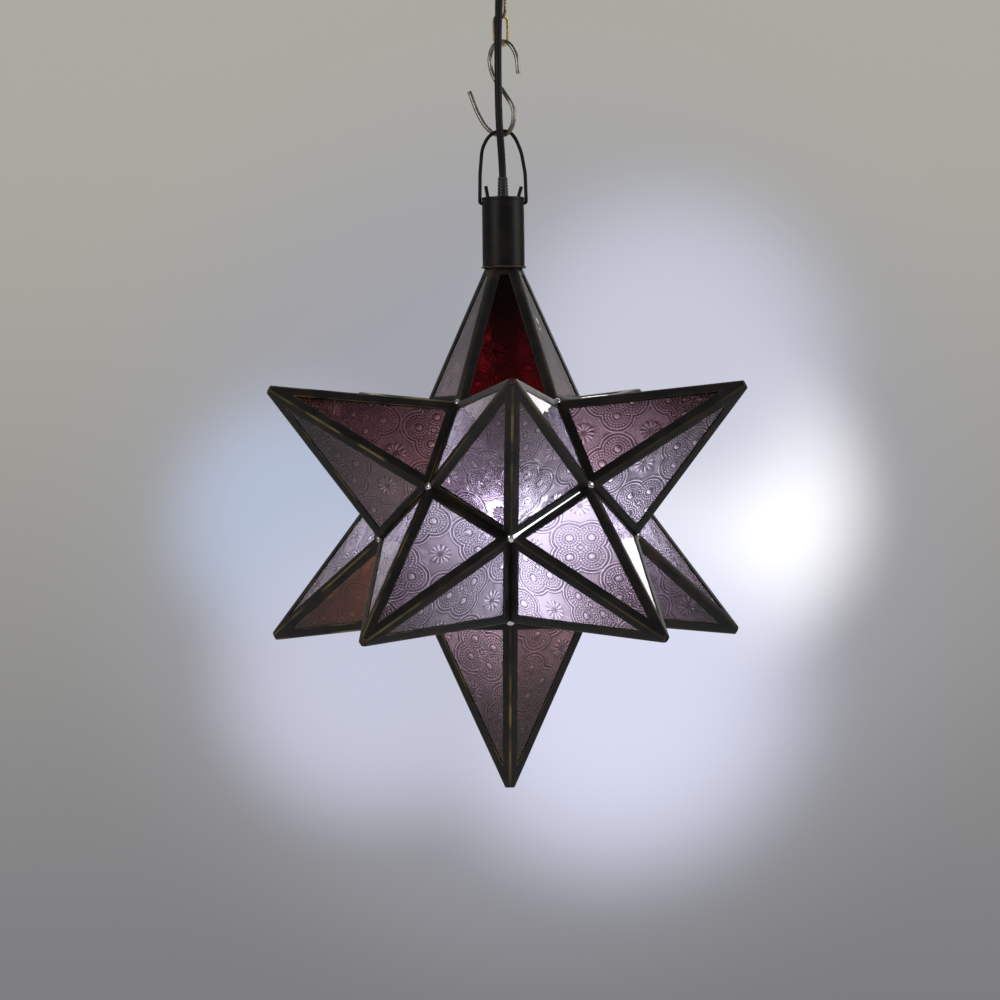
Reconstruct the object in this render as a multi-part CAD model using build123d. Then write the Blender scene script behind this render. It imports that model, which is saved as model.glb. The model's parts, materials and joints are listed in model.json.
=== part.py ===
from build123d import *
from math import acos, atan, atan2, cos, degrees, hypot, radians, sin, sqrt, tan
import os

# A star lantern of glass panes held in folded metal cames, hung by a wire bail,
# an S-hook and a short chain from a ceiling canopy. Millimetres, +Z up.
# The origin is the middle of the ceiling plane that the mounting bar lies on.

# ---- the star: a dodecahedron of open pentagons, each carrying a five-paned ray
EDGE = 73.5              # side of the pentagon that a ray stands on
RAY_HEIGHT = 133.2       # from that pentagon to the ray's sharp apex
TIP_CUT = 8.5            # how far the sharp apex is cut back to the blunt tip

# ---- came (the folded channel round each pane) and its glass
CAME_FACE = 5.75         # width of one channel's face
CAME_DEPTH = 3.4         # depth of one channel, front to back
GLASS_THICK = 2.0
GLASS_BITE = 3.0         # how far the glass reaches into its channel
SLOT_CLEARANCE = 0.1     # air round the glass in its channel
RIDGE_CHAMFER = 0.8      # bevel of the channel's outer edges

# ---- neck
NECK_DIAMETER = 31.8
NECK_WALL = 0.9
NECK_HEIGHT = 52.5
NECK_TUCK = 5.0          # how far the top ray's cames run up inside the neck
NECK_WINDOW_GAP = 6.0    # from the neck's lower edge down to the top ray's windows
BAIL_HOLE_DROP = 4.5     # from the rim down to the middle of the bail holes
PLATE_THICK = 1.5
PLATE_DROP = 40.0        # from the rim down to the neck plate

# ---- wires and chain
BAIL_WIRE = 2.4
BAIL_HEIGHT = 54.2       # from the middle of the bail holes to the crown's centre line
BAIL_LEG_OUT = 0.3       # air between the neck and a bail leg
BAIL_TAIL = 13.0         # the bent-up wire ends inside the neck
BAIL_BEND = 2.0
BAIL_HOLE_CLEARANCE = 0.3
HOOK_WIRE = 3.2
HOOK_HEIGHT = 70.3       # between the centre lines of the hook's two bows
HOOK_TURN = -40.0        # the hook's plane, turned about Z from the X axis
LINK_WIRE = 2.3
LINK_LENGTH = 25.5
LINK_WIDTH = 14.3
LINK_TURN = 31.0         # the lowest link's plane, turned about Z from the X axis
LINK_COUNT = 3
WIRE_GAP = 0.3           # air where one wire hangs in another
WIRE_SIDES = 8           # a bent wire's or cord's round section is drawn with this many sides

# ---- canopy
CANOPY_DIAMETER = 120.0
CANOPY_HEIGHT = 26.0
CANOPY_WALL = 1.0
CANOPY_LIP = 3.0         # height of its straight rim
BAR_LENGTH = 104.0
BAR_WIDTH = 18.0
BAR_THICK = 2.0
BAR_SLOT_LENGTH = 14.0
BAR_SLOT_WIDTH = 4.5
BAR_SLOT_PITCH = 76.0
ROD_DIAMETER = 10.0      # threaded tube, here and in the neck
ROD_BORE = 7.0
ROD_FIT = 0.1            # added to a hole's diameter for the threaded tube
ROD_ABOVE_PLATE = 10.0   # how far the neck's rod stands above its plate
NUT_FLATS = 14.0
NUT_THICK = 3.0
COLLAR_DIAMETER = 20.0
COLLAR_THICK = 5.0
COLLAR_SIDES = 12
LOOP_BOSS_DIAMETER = 14.0
LOOP_BOSS_HEIGHT = 7.0
LOOP_RADIUS = 7.0        # centre line of the canopy's ring
LOOP_WIRE = 3.5
SEAT_GAP = 0.2           # air between pieces that are screwed up to each other

# ---- cord
CORD_DIAMETER = 5.5
CORD_FIT = 0.2           # added to a bore's diameter for the cord
GLAND_DIAMETER = 11.0
GLAND_STUB = 7.8         # the gland's thread through the canopy
GLAND_DROP = 9.0
GLAND_OFFSET = 19.0      # in front of the canopy's middle
GRIP_DIAMETER = 8.6
GRIP_ABOVE_RIM = 15.0
BLOCK_SIZE = (24.0, 12.0, 11.0)

# ---- lampholder and lamp
HOLDER_DIAMETER = 22.0
HOLDER_WALL = 1.5
HOLDER_LENGTH = 130.0
HOLDER_DROP = 24.0       # from the neck plate down to the lampholder's sleeve
HOLDER_CAP_HEIGHT = 12.0
LAMP_THREAD = 13.9
LAMP_CAP_LENGTH = 24.0
LAMP_FIT = 0.3           # added to the screw shell's diameter for the lamp's thread
SHELL_WALL = 0.4
SHELL_LENGTH = 22.0
INSULATOR_THICK = 8.0
CONTACT_THICK = 0.6
CONTACT_GAP = 0.1        # air between the sprung strip and the lamp's tip
CONTACT_WIDTH = 5.0
GLOBE_DIAMETER = 45.0
LAMP_COLLAR_DIAMETER = 30.0
LAMP_COLLAR_HEIGHT = 14.0
GLOBE_WALL = 1.0
LAMP_SHOW = 1.0          # how far the lamp's cap stands out of the holder

# ---- door hinge and latch, on the ray behind right
DOOR_TRIM = 0.25         # how far the door's foot is cut back from its neighbours
HINGE_LENGTH = 30.0
HINGE_MIDDLE = 12.0      # the door's knuckle
HINGE_GAP = 0.3          # air between knuckles
HINGE_BARREL = 3.2
HINGE_PIN = 1.5
HINGE_PIN_FIT = 0.1      # added to the pin hole's diameter
HINGE_LEAF = 0.8
HINGE_LEAF_REACH = 5.6   # how far a leaf reaches over its came
HINGE_STAND = 3.0        # the pin's distance outside the valley line
LATCH_WIDTH = 4.4
LATCH_THICK = 1.0
LATCH_STUD = 1.8
LATCH_STUD_FIT = 0.2     # added to the pivot hole's diameter
LATCH_SLOT = 3.0
LATCH_WALL = 1.2
LATCH_FOOT = 3.2         # how far up its came each stud stands
LATCH_LIFT = 4.4         # height of the latch plate above the valley line
STUD_HEAD = 3.4
STUD_HEAD_THICK = 0.8

# ---- worked out from the star's sizes
BASE_APOTHEM = EDGE / (2 * tan(radians(36)))
BASE_RADIUS = EDGE / (2 * sin(radians(36)))
STAR_INRADIUS = EDGE / 2 * sqrt(5 / 2 + 11 / 10 * sqrt(5))
STAR_MIDRADIUS = hypot(BASE_APOTHEM, STAR_INRADIUS)
APEX_RADIUS = STAR_INRADIUS + RAY_HEIGHT
SLANT = hypot(RAY_HEIGHT, BASE_APOTHEM)
PANE_TILT = atan2(BASE_APOTHEM, RAY_HEIGHT)
PANE_HALF_ANGLE = atan(EDGE / 2 / SLANT)
RIDGE_ANGLE = acos(cos(PANE_TILT) * sin(radians(36)))
VALLEY_ANGLE = acos((STAR_INRADIUS * cos(PANE_TILT) - BASE_APOTHEM * sin(PANE_TILT)) / STAR_MIDRADIUS)
RING_TILT = degrees(atan(1 / 2))     # how far the rays of the two rings rise or dip

# ---- heights above the star's middle
NECK_RADIUS = NECK_DIAMETER / 2
NECK_BORE = NECK_RADIUS - NECK_WALL
NECK_FOOT = APEX_RADIUS - RAY_HEIGHT * NECK_BORE / BASE_RADIUS + 0.5
NECK_RIM = NECK_FOOT + NECK_HEIGHT
BAIL_HOLES = NECK_RIM - BAIL_HOLE_DROP
BAIL_CROWN = BAIL_HOLES + BAIL_HEIGHT
HOOK_FOOT = BAIL_CROWN - (BAIL_WIRE + HOOK_WIRE) / 2 - WIRE_GAP
HOOK_HEAD = HOOK_FOOT + HOOK_HEIGHT
LINK_REACH = (LINK_LENGTH - LINK_WIRE) / 2
LINK_HALF_WIDTH = (LINK_WIDTH - LINK_WIRE) / 2
LINK_PITCH = 2 * LINK_REACH - LINK_WIRE - WIRE_GAP
FIRST_LINK = HOOK_HEAD - (HOOK_WIRE + LINK_WIRE) / 2 - WIRE_GAP + LINK_REACH
LAST_LINK = FIRST_LINK + (LINK_COUNT - 1) * LINK_PITCH
LOOP_FOOT = LAST_LINK + LINK_REACH - (LINK_WIRE + LOOP_WIRE) / 2 - WIRE_GAP
PLATE_TOP = NECK_RIM - PLATE_DROP
GRIP_TOP = NECK_RIM + GRIP_ABOVE_RIM
HOLDER_TOP = PLATE_TOP - HOLDER_DROP
HOLDER_MOUTH = HOLDER_TOP - HOLDER_LENGTH
LAMP_TIP = HOLDER_MOUTH + LAMP_CAP_LENGTH - LAMP_SHOW
GLOBE_MIDDLE = HOLDER_MOUTH - LAMP_SHOW - LAMP_COLLAR_HEIGHT - sqrt(
    (GLOBE_DIAMETER / 2) ** 2 - (LAMP_COLLAR_DIAMETER / 2) ** 2)

# ---- heights below the ceiling
COLLAR_TOP = -CANOPY_HEIGHT - SEAT_GAP
BOSS_TOP = COLLAR_TOP - COLLAR_THICK - SEAT_GAP
BOSS_FOOT = BOSS_TOP - LOOP_BOSS_HEIGHT
LOOP_MIDDLE = BOSS_FOOT - LOOP_RADIUS + LOOP_WIRE / 4
STAR_Z = LOOP_MIDDLE - LOOP_RADIUS - LOOP_FOOT     # the star's middle, in the part's frame
GLAND_FOOT = -CANOPY_HEIGHT - GLAND_DROP

# ---- the free cord's route, from the gland down in front of the chain to the grip
GRIP_MOUTH = STAR_Z + GRIP_TOP
CORD_DROP = GLAND_FOOT - GRIP_MOUTH
CORD_ROUTE = [(x, y, GLAND_FOOT - share * CORD_DROP) for x, y, share in [
    (0.0, -GLAND_OFFSET, 0.0),
    (0.0, -GLAND_OFFSET, 0.0906),
    (-1.2, -13.5, 0.2265),
    (-1.6, -8.8, 0.3964),
    (-1.4, -7.4, 0.5777),
    (-1.2, -7.0, 0.7451),
    (-0.8, -5.8, 0.8301),
    (0.0, 0.0, 0.9264),
    (0.0, 0.0, 1.0),
]]

# ---- the rays: name, azimuth from the front (positive to the right) and ring
FIFTH = 360 / 5
RAYS = [("top", 0, "top"), ("bottom", 180, "bottom")]
for place, ray_name in enumerate(["upper_front", "upper_right", "door", "upper_back_left", "upper_left"]):
    RAYS.append((ray_name, place * FIFTH, "upper"))
for place, ray_name in enumerate(
        ["lower_front_right", "lower_right", "lower_back", "lower_left", "lower_front_left"]):
    RAYS.append((ray_name, (place + 0.5) * FIFTH, "lower"))
DOOR_TOP_PANE = 2        # the top ray's pane over the door
DOOR_LATCH_PANE = 3      # the door's pane over the latch
NEIGHBOUR = "lower_back"  # the ray that carries the latch
NEIGHBOUR_PANE = 3       # its pane under the latch


# ---------------------------------------------------------------- helpers
def along(azimuth):
    """The level direction at an azimuth counted from the front, positive to the right."""
    return Vector(sin(radians(azimuth)), -cos(radians(azimuth)), 0)


def ray_plane(azimuth, ring):
    """A ray's own plane: Z runs along the ray, X towards its first pane."""
    level, up, tilt = along(azimuth), Vector(0, 0, 1), radians(RING_TILT)
    if ring == "top":
        axis, first = up, level
    elif ring == "bottom":
        axis, first = -up, level
    elif ring == "upper":
        axis, first = level * cos(tilt) + up * sin(tilt), up * cos(tilt) - level * sin(tilt)
    else:
        axis, first = level * cos(tilt) - up * sin(tilt), -up * cos(tilt) - level * sin(tilt)
    return Plane(origin=(0, 0, STAR_Z), x_dir=first, z_dir=axis)


def pane_location(number):
    """A pane's place on its ray: X along the foot, Y up the slope, Z outwards."""
    turn = radians(72 * number)
    foot = Vector(BASE_APOTHEM * cos(turn), BASE_APOTHEM * sin(turn), STAR_INRADIUS)
    out = Vector(cos(PANE_TILT) * cos(turn), cos(PANE_TILT) * sin(turn), sin(PANE_TILT))
    return Plane(origin=foot, x_dir=(-sin(turn), cos(turn), 0), z_dir=out).location


def plane_of(name):
    """The plane of the ray of that name."""
    azimuth, ring = next((ray[1], ray[2]) for ray in RAYS if ray[0] == name)
    return ray_plane(azimuth, ring)


def edge_location(name, number):
    """A pane's place in the part's frame, for the ray of that name."""
    return plane_of(name).location * pane_location(number)


def ring_of_wire(radius, wire, turn=360):
    """Part of a round wire ring about the Z axis, starting on +X."""
    section = Plane.XZ * Pos(radius, 0) * RegularPolygon(wire / 2, WIRE_SIDES)
    return revolve(section, Axis.Z, turn)


def fillet_radii(points):
    """For each inner point, 0.45 of the shorter run over the tangent of half the turn."""
    points = [Vector(*point) for point in points]
    radii = []
    for before, here, after in zip(points, points[1:], points[2:]):
        run_in, run_out = here - before, after - here
        turn = radians(run_in.get_angle(run_out))
        radii.append(0.45 * min(run_in.length, run_out.length) / tan(turn / 2))
    return radii


def wire_along(points, diameter, radii=None):
    """A wire or cord of straight runs joined by tangent arcs."""
    path = FilletPolyline(*points, radius=radii or fillet_radii(points))
    start = Plane(origin=path @ 0, z_dir=path % 0)
    return sweep(start * RegularPolygon(diameter / 2, WIRE_SIDES), path=path)


def hex_nut(top, bore):
    """A nut whose upper face lies at a height."""
    nut = extrude(RegularPolygon(NUT_FLATS / 2, 6, major_radius=False) - Circle(bore / 2), -NUT_THICK)
    return Pos(0, 0, top) * chamfer(nut.edges().filter_by(GeomType.LINE).filter_by(Axis.Z), 0.5)


def tube(outer, bore, foot, top):
    """A plain round tube about the Z axis."""
    ring = Circle(outer / 2) - Circle(bore / 2)
    return Pos(0, 0, foot) * extrude(ring, top - foot)


# ---------------------------------------------------------------- canopy
def mounting_bar():
    """The strip that is screwed to the ceiling, with a slot at each end and a hole for the rod."""
    bar = Rectangle(BAR_WIDTH, BAR_LENGTH)
    bar = fillet(bar.vertices(), 3)
    for end in (-1, 1):
        bar -= Pos(0, end * BAR_SLOT_PITCH / 2) * SlotOverall(BAR_SLOT_LENGTH, BAR_SLOT_WIDTH, rotation=90)
    bar -= Circle((ROD_DIAMETER + ROD_FIT) / 2)
    return extrude(bar, -BAR_THICK)


def canopy_shell():
    """A spun metal dome, open at the ceiling, with holes for the rod and the cord's gland."""
    rim, rod, swell = CANOPY_DIAMETER / 2, (ROD_DIAMETER + ROD_FIT) / 2, CANOPY_HEIGHT - CANOPY_LIP
    flat = rim - swell
    with BuildSketch(Plane.XZ) as section:
        with BuildLine():
            Line((rim - CANOPY_WALL, 0), (rim, 0))
            Line((rim, 0), (rim, -CANOPY_LIP))
            CenterArc((flat, -CANOPY_LIP), swell, 0, -90)
            Line((flat, -CANOPY_HEIGHT), (rod, -CANOPY_HEIGHT))
            Line((rod, -CANOPY_HEIGHT), (rod, CANOPY_WALL - CANOPY_HEIGHT))
            Line((rod, CANOPY_WALL - CANOPY_HEIGHT), (flat, CANOPY_WALL - CANOPY_HEIGHT))
            CenterArc((flat, -CANOPY_LIP), swell - CANOPY_WALL, 0, -90)
            Line((rim - CANOPY_WALL, -CANOPY_LIP), (rim - CANOPY_WALL, 0))
        make_face()
    shell = revolve(section.sketch, Axis.Z)
    gland_hole = Cylinder(GLAND_STUB / 2 + SEAT_GAP, 4 * CANOPY_WALL)
    return shell - Pos(0, -GLAND_OFFSET, -CANOPY_HEIGHT) * gland_hole


def canopy_rod():
    """Threaded tube through the bar, the canopy and its collar into the loop's boss."""
    return tube(ROD_DIAMETER, ROD_BORE, BOSS_FOOT + 2, 0)


def canopy_nut():
    """Nut that locks the rod under the mounting bar."""
    return hex_nut(-BAR_THICK, ROD_DIAMETER + ROD_FIT)


def canopy_collar():
    """Ring screwed up the rod to hold the canopy to the ceiling, with flats for the fingers."""
    ring = RegularPolygon(COLLAR_DIAMETER / 2, COLLAR_SIDES) - Circle((ROD_DIAMETER + ROD_FIT) / 2)
    return Pos(0, 0, COLLAR_TOP) * extrude(ring, -COLLAR_THICK)


def canopy_loop():
    """Boss on the rod's end with the ring that the chain hangs in."""
    boss = Pos(0, 0, BOSS_FOOT) * extrude(Circle(LOOP_BOSS_DIAMETER / 2), LOOP_BOSS_HEIGHT)
    boss = chamfer(boss.edges().group_by(Axis.Z)[0], 1.5)
    boss -= Pos(0, 0, BOSS_FOOT + 2) * extrude(Circle((ROD_DIAMETER + ROD_FIT) / 2), LOOP_BOSS_HEIGHT)
    across_last_link = Rot(Z=LINK_TURN - 90 * LINK_COUNT)
    ring = across_last_link * (Rot(X=90) * ring_of_wire(LOOP_RADIUS, LOOP_WIRE))
    return boss + Pos(0, 0, LOOP_MIDDLE) * ring


def canopy_gland():
    """Cord gland in the canopy: flange and tapered nose outside, stub and washer inside."""
    bore = (CORD_DIAMETER + CORD_FIT) / 2
    wide, stub = GLAND_DIAMETER / 2, GLAND_STUB / 2
    under, over = -CANOPY_HEIGHT, -CANOPY_HEIGHT + CANOPY_WALL
    profile = Polyline(
        (bore, GLAND_FOOT), (bore + 1.2, GLAND_FOOT), (wide, under - 3), (wide, under), (stub, under),
        (stub, over), (wide, over), (wide, over + 1.5), (stub, over + 1.5), (stub, over + 3),
        (bore, over + 3), close=True)
    return Pos(0, -GLAND_OFFSET, 0) * revolve(make_face(Plane.XZ * profile), Axis.Z)


def terminal_block():
    """Insulated block under the bar, with its two cable ways."""
    length, width, height = BLOCK_SIZE
    block = Pos(0, -GLAND_OFFSET, -BAR_THICK - height / 2) * Box(length, width, height)
    block = chamfer(block.edges().filter_by(Axis.Z), 1)
    for side in (-1, 1):
        way = Pos(side * length / 4, -GLAND_OFFSET, -BAR_THICK - height / 2)
        block -= way * (Rot(X=90) * Cylinder(1.8, width))
    return block


def canopy_cord_tail():
    """The cord's end inside the canopy, from the gland up to the terminal block."""
    top = -BAR_THICK - BLOCK_SIZE[2]
    return Pos(0, -GLAND_OFFSET, GLAND_FOOT) * extrude(Circle(CORD_DIAMETER / 2), top - GLAND_FOOT)


# ---------------------------------------------------------------- cord, chain, hook and bail
def power_cord():
    """The free stretch of cord between the gland and the grip on the neck."""
    cord = wire_along(CORD_ROUTE, CORD_DIAMETER)
    print("cord bends:", [round(radius, 1) for radius in fillet_radii(CORD_ROUTE)])
    return cord


def chain_link(number):
    """One oblong link; every other one is turned a quarter turn."""
    straight = LINK_REACH - LINK_HALF_WIDTH
    bow = Rot(X=90) * ring_of_wire(LINK_HALF_WIDTH, LINK_WIRE, 180)
    link = Pos(0, 0, straight) * bow + Pos(0, 0, -straight) * (Rot(Y=180) * bow)
    for side in (-1, 1):
        leg = extrude(RegularPolygon(LINK_WIRE / 2, WIRE_SIDES), straight, both=True)
        link += Pos(side * LINK_HALF_WIDTH, 0, 0) * leg
    place = Pos(0, 0, STAR_Z + FIRST_LINK + (number - 1) * LINK_PITCH)
    return place * (Rot(Z=LINK_TURN - 90 * (number - 1)) * link)


def s_hook():
    """S-shaped wire hook: a closed-in bow over the lowest link, a bent-open one under the bail."""
    foot, head = HOOK_FOOT, HOOK_HEAD
    points = [
        (16.0, 0, head - 25), (15.0, 0, head - 11), (6.5, 0, head), (-6.0, 0, head),
        (-12.0, 0, head - 11), (-9.0, 0, head - 25), (2.0, 0, head - 38),
        (11.5, 0, foot + 20), (11.0, 0, foot + 8), (5.0, 0, foot), (-6.0, 0, foot),
        (-16.0, 0, foot + 7), (-24.0, 0, foot + 19), (-31.0, 0, foot + 34.5)]
    return Pos(0, 0, STAR_Z) * (Rot(Z=HOOK_TURN) * wire_along(points, HOOK_WIRE))


def bail():
    """Wire handle over the neck, its ends hooked in through the neck's holes and bent up."""
    leg = NECK_RADIUS + BAIL_LEG_OUT + BAIL_WIRE / 2
    tail = leg - 2 * BAIL_BEND - 2
    holes, crown = BAIL_HOLES, BAIL_CROWN
    half = [
        (tail, 0, holes + BAIL_TAIL), (tail, 0, holes), (leg, 0, holes), (leg - 0.4, 0, holes + 22),
        (leg - 2.6, 0, crown - 15), (leg - 7.2, 0, crown - 5), (5.0, 0, crown)]
    points = half + [(-x, y, z) for x, y, z in reversed(half)]
    radii = fillet_radii(points)
    for corner in (0, 1, -2, -1):
        radii[corner] = BAIL_BEND
    return Pos(0, 0, STAR_Z) * wire_along(points, BAIL_WIRE, radii)


# ---------------------------------------------------------------- neck and lampholder
def neck_tube():
    """Rolled neck with a hole each side for the bail."""
    neck = tube(NECK_DIAMETER, 2 * NECK_BORE, NECK_FOOT, NECK_RIM)
    hole = Cylinder(BAIL_WIRE / 2 + BAIL_HOLE_CLEARANCE, 2 * NECK_DIAMETER)
    return Pos(0, 0, STAR_Z) * (neck - Pos(0, 0, BAIL_HOLES) * (Rot(Y=90) * hole))


def neck_plate():
    """Disc soldered across the neck that carries the lampholder's rod."""
    disc = tube(2 * NECK_BORE, ROD_DIAMETER + ROD_FIT, PLATE_TOP - PLATE_THICK, PLATE_TOP)
    return Pos(0, 0, STAR_Z) * disc


def neck_rod():
    """Threaded tube from the cord grip through the plate into the lampholder's cap."""
    return Pos(0, 0, STAR_Z) * tube(ROD_DIAMETER, ROD_BORE, HOLDER_TOP, PLATE_TOP + ROD_ABOVE_PLATE)


def neck_nuts():
    """The nut above the plate and the one below it."""
    bore = ROD_DIAMETER + ROD_FIT
    nuts = [hex_nut(PLATE_TOP + NUT_THICK, bore), hex_nut(PLATE_TOP - PLATE_THICK, bore)]
    return Compound(children=[Pos(0, 0, STAR_Z) * nut for nut in nuts])


def cord_grip():
    """Grip on the rod's end whose narrow sleeve stands out of the neck round the cord."""
    foot = PLATE_TOP + NUT_THICK + SEAT_GAP
    wide, rod = ROD_DIAMETER / 2 + 1.5, (ROD_DIAMETER + ROD_FIT) / 2
    sleeve, bore = GRIP_DIAMETER / 2, (CORD_DIAMETER + CORD_FIT) / 2
    seat = PLATE_TOP + ROD_ABOVE_PLATE + SEAT_GAP
    profile = Polyline(
        (rod, foot), (wide, foot), (wide, seat + 1), (sleeve, seat + 4), (sleeve, GRIP_TOP - 0.6),
        (sleeve - 0.6, GRIP_TOP), (bore, GRIP_TOP), (bore, seat), (rod, seat), close=True)
    return Pos(0, 0, STAR_Z) * revolve(make_face(Plane.XZ * profile), Axis.Z)


def neck_cord_tail():
    """The cord's end from the grip down through the rod into the lampholder."""
    foot = HOLDER_TOP - 6
    return Pos(0, 0, STAR_Z + foot) * extrude(Circle(CORD_DIAMETER / 2), GRIP_TOP - foot)


def holder_cap():
    """The lampholder's domed cap, screwed on the rod."""
    rod, skirt = (ROD_DIAMETER + ROD_FIT) / 2, HOLDER_DIAMETER / 2
    top, foot = HOLDER_TOP + HOLDER_CAP_HEIGHT, HOLDER_TOP
    profile = Polyline(
        (rod, top), (rod + 2, top), (skirt, foot + 4), (skirt, foot),
        (skirt - HOLDER_WALL, foot), (skirt - HOLDER_WALL, foot + 2), (rod, foot + 6), close=True)
    return Pos(0, 0, STAR_Z) * revolve(make_face(Plane.XZ * profile), Axis.Z)


def holder_sleeve():
    """The lampholder's straight outer sleeve."""
    top = HOLDER_TOP - SEAT_GAP
    return Pos(0, 0, STAR_Z) * tube(HOLDER_DIAMETER, HOLDER_DIAMETER - 2 * HOLDER_WALL, HOLDER_MOUTH, top)


def holder_insulator():
    """Ceramic disc across the sleeve that the contacts are fixed to."""
    foot = LAMP_TIP + CONTACT_GAP + CONTACT_THICK + SEAT_GAP
    disc = Circle(HOLDER_DIAMETER / 2 - HOLDER_WALL)
    for side in (-1, 1):
        disc -= Pos(side * 5.5, 0) * Circle(1.2)
    return Pos(0, 0, STAR_Z + foot) * extrude(disc, INSULATOR_THICK)


def screw_shell():
    """Thin shell that takes the lamp's thread, flanged out to the sleeve at its top."""
    bore = LAMP_THREAD / 2 + LAMP_FIT
    top = HOLDER_MOUTH + SHELL_LENGTH
    shell = tube(2 * (bore + SHELL_WALL), 2 * bore, HOLDER_MOUTH + 1, top)
    flange = tube(HOLDER_DIAMETER - 2 * HOLDER_WALL, 2 * bore, top - SHELL_WALL, top)
    return Pos(0, 0, STAR_Z) * (shell + flange)


def holder_contact():
    """Sprung strip over the lamp's tip contact."""
    foot = LAMP_TIP + CONTACT_GAP
    strip = Rectangle(HOLDER_DIAMETER - 2 * HOLDER_WALL - 4, CONTACT_WIDTH)
    return Pos(0, 0, STAR_Z + foot) * extrude(fillet(strip.vertices(), 1), CONTACT_THICK)


# ---------------------------------------------------------------- lamp
def lamp_cap():
    """The lamp's screw cap, its thread as plain rolled rings, closed towards the tip."""
    crest, root = LAMP_THREAD / 2, LAMP_THREAD / 2 - 0.7
    foot, tip = HOLDER_MOUTH - LAMP_SHOW, LAMP_TIP
    turns, pitch, start = 4, 2.8, HOLDER_MOUTH + 2
    points = [(0, foot), (crest, foot), (crest, start)]
    for turn in range(turns):
        points += [(root, start + (turn + 0.5) * pitch), (crest, start + (turn + 1) * pitch)]
    points += [(crest - 2.5, tip - 2.5), (0, tip - 2.5)]
    return Pos(0, 0, STAR_Z) * revolve(make_face(Plane.XZ * Polyline(*points, close=True)), Axis.Z)


def lamp_contact():
    """The lamp's tip contact on its insulating glass."""
    foot = LAMP_TIP - 2.5
    profile = Polyline((0, foot), (3.4, foot), (2.4, LAMP_TIP), (0, LAMP_TIP), close=True)
    return Pos(0, 0, STAR_Z) * revolve(make_face(Plane.XZ * profile), Axis.Z)


def lamp_collar():
    """The lamp's tapered body between its cap and its globe."""
    top = HOLDER_MOUTH - LAMP_SHOW
    foot = top - LAMP_COLLAR_HEIGHT
    profile = Polyline(
        (0, top), (LAMP_THREAD / 2 + 1, top), (LAMP_THREAD / 2 + 2, top - 2),
        (LAMP_COLLAR_DIAMETER / 2, foot + 2), (LAMP_COLLAR_DIAMETER / 2, foot), (0, foot), close=True)
    return Pos(0, 0, STAR_Z) * revolve(make_face(Plane.XZ * profile), Axis.Z)


def lamp_globe():
    """The lamp's frosted globe, hollow, cut off level where it meets the collar."""
    outer, neck = GLOBE_DIAMETER / 2, LAMP_COLLAR_DIAMETER / 2
    rise = sqrt(outer ** 2 - neck ** 2)
    globe = Sphere(outer) - Sphere(outer - GLOBE_WALL)
    globe = split(globe, Plane.XY.offset(rise), keep=Keep.BOTTOM)
    return Pos(0, 0, STAR_Z + GLOBE_MIDDLE) * globe


# ---------------------------------------------------------------- the star's panes
def pane_triangle(side_inset, foot_inset):
    """The pane's triangle in its own plane, its sides and foot moved inwards."""
    apex = SLANT - side_inset / sin(PANE_HALF_ANGLE)
    half = (apex - foot_inset) * tan(PANE_HALF_ANGLE)
    return make_face(Polyline((-half, foot_inset), (half, foot_inset), (0, apex), close=True))


def below(height):
    """A mask over the part of a pane's plane that lies below a height up its slope."""
    return Pos(0, height - SLANT) * Rectangle(4 * EDGE, 2 * SLANT)


def came(foot_trim, window_top=None):
    """One pane's channel frame, mitred to its neighbours, with its window and glass slot."""
    back = pane_triangle(CAME_DEPTH / tan(RIDGE_ANGLE), foot_trim - CAME_DEPTH / tan(VALLEY_ANGLE))
    slab = loft([pane_triangle(0, foot_trim), Pos(0, 0, -CAME_DEPTH) * back], ruled=True)
    slab = chamfer(slab.edges().group_by(Axis.Z)[-1], RIDGE_CHAMFER)
    window = pane_triangle(CAME_FACE, CAME_FACE)
    slot_inset = CAME_FACE - GLASS_BITE - SLOT_CLEARANCE
    slot = pane_triangle(slot_inset, slot_inset)
    if window_top:
        window &= below(window_top)
        slot &= below(window_top + GLASS_BITE + SLOT_CLEARANCE)
    slot_depth = GLASS_THICK + 2 * SLOT_CLEARANCE
    slot = Pos(0, 0, -(CAME_DEPTH - slot_depth) / 2) * extrude(slot, -slot_depth)
    return slab - Pos(0, 0, CAME_DEPTH) * extrude(window, -3 * CAME_DEPTH) - slot


def pane_of_glass(window_top=None):
    """One pane, reaching into its channel on every side."""
    inset = CAME_FACE - GLASS_BITE
    sheet = pane_triangle(inset, inset)
    if window_top:
        sheet &= below(window_top + GLASS_BITE)
    return Pos(0, 0, -(CAME_DEPTH - GLASS_THICK) / 2) * extrude(sheet, -GLASS_THICK)


def ray_nodes():
    """Frame and glass of each ray: five cames and five panes about the ray's own axis."""
    neck_window = (NECK_FOOT - NECK_WINDOW_GAP - STAR_INRADIUS) / cos(PANE_TILT)
    plain = came(0), pane_of_glass()
    kinds = {"top": (came(0, neck_window), pane_of_glass(neck_window)),
             "door": (came(DOOR_TRIM), pane_of_glass())}
    nodes = {}
    for name, azimuth, ring in RAYS:
        place = ray_plane(azimuth, ring).location
        frame, glass = kinds.get(name, plain)
        tip = NECK_FOOT + NECK_TUCK if name == "top" else APEX_RADIUS - TIP_CUT
        cut = Pos(0, 0, tip + EDGE) * Box(2 * EDGE, 2 * EDGE, 2 * EDGE)
        frames = [place * (pane_location(pane) * frame - cut) for pane in range(5)]
        panes = [place * (pane_location(pane) * glass) for pane in range(5)]
        nodes[f"{name}_frame"] = Compound(children=frames)
        nodes[f"{name}_glass"] = Compound(children=panes)
    return nodes


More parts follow.
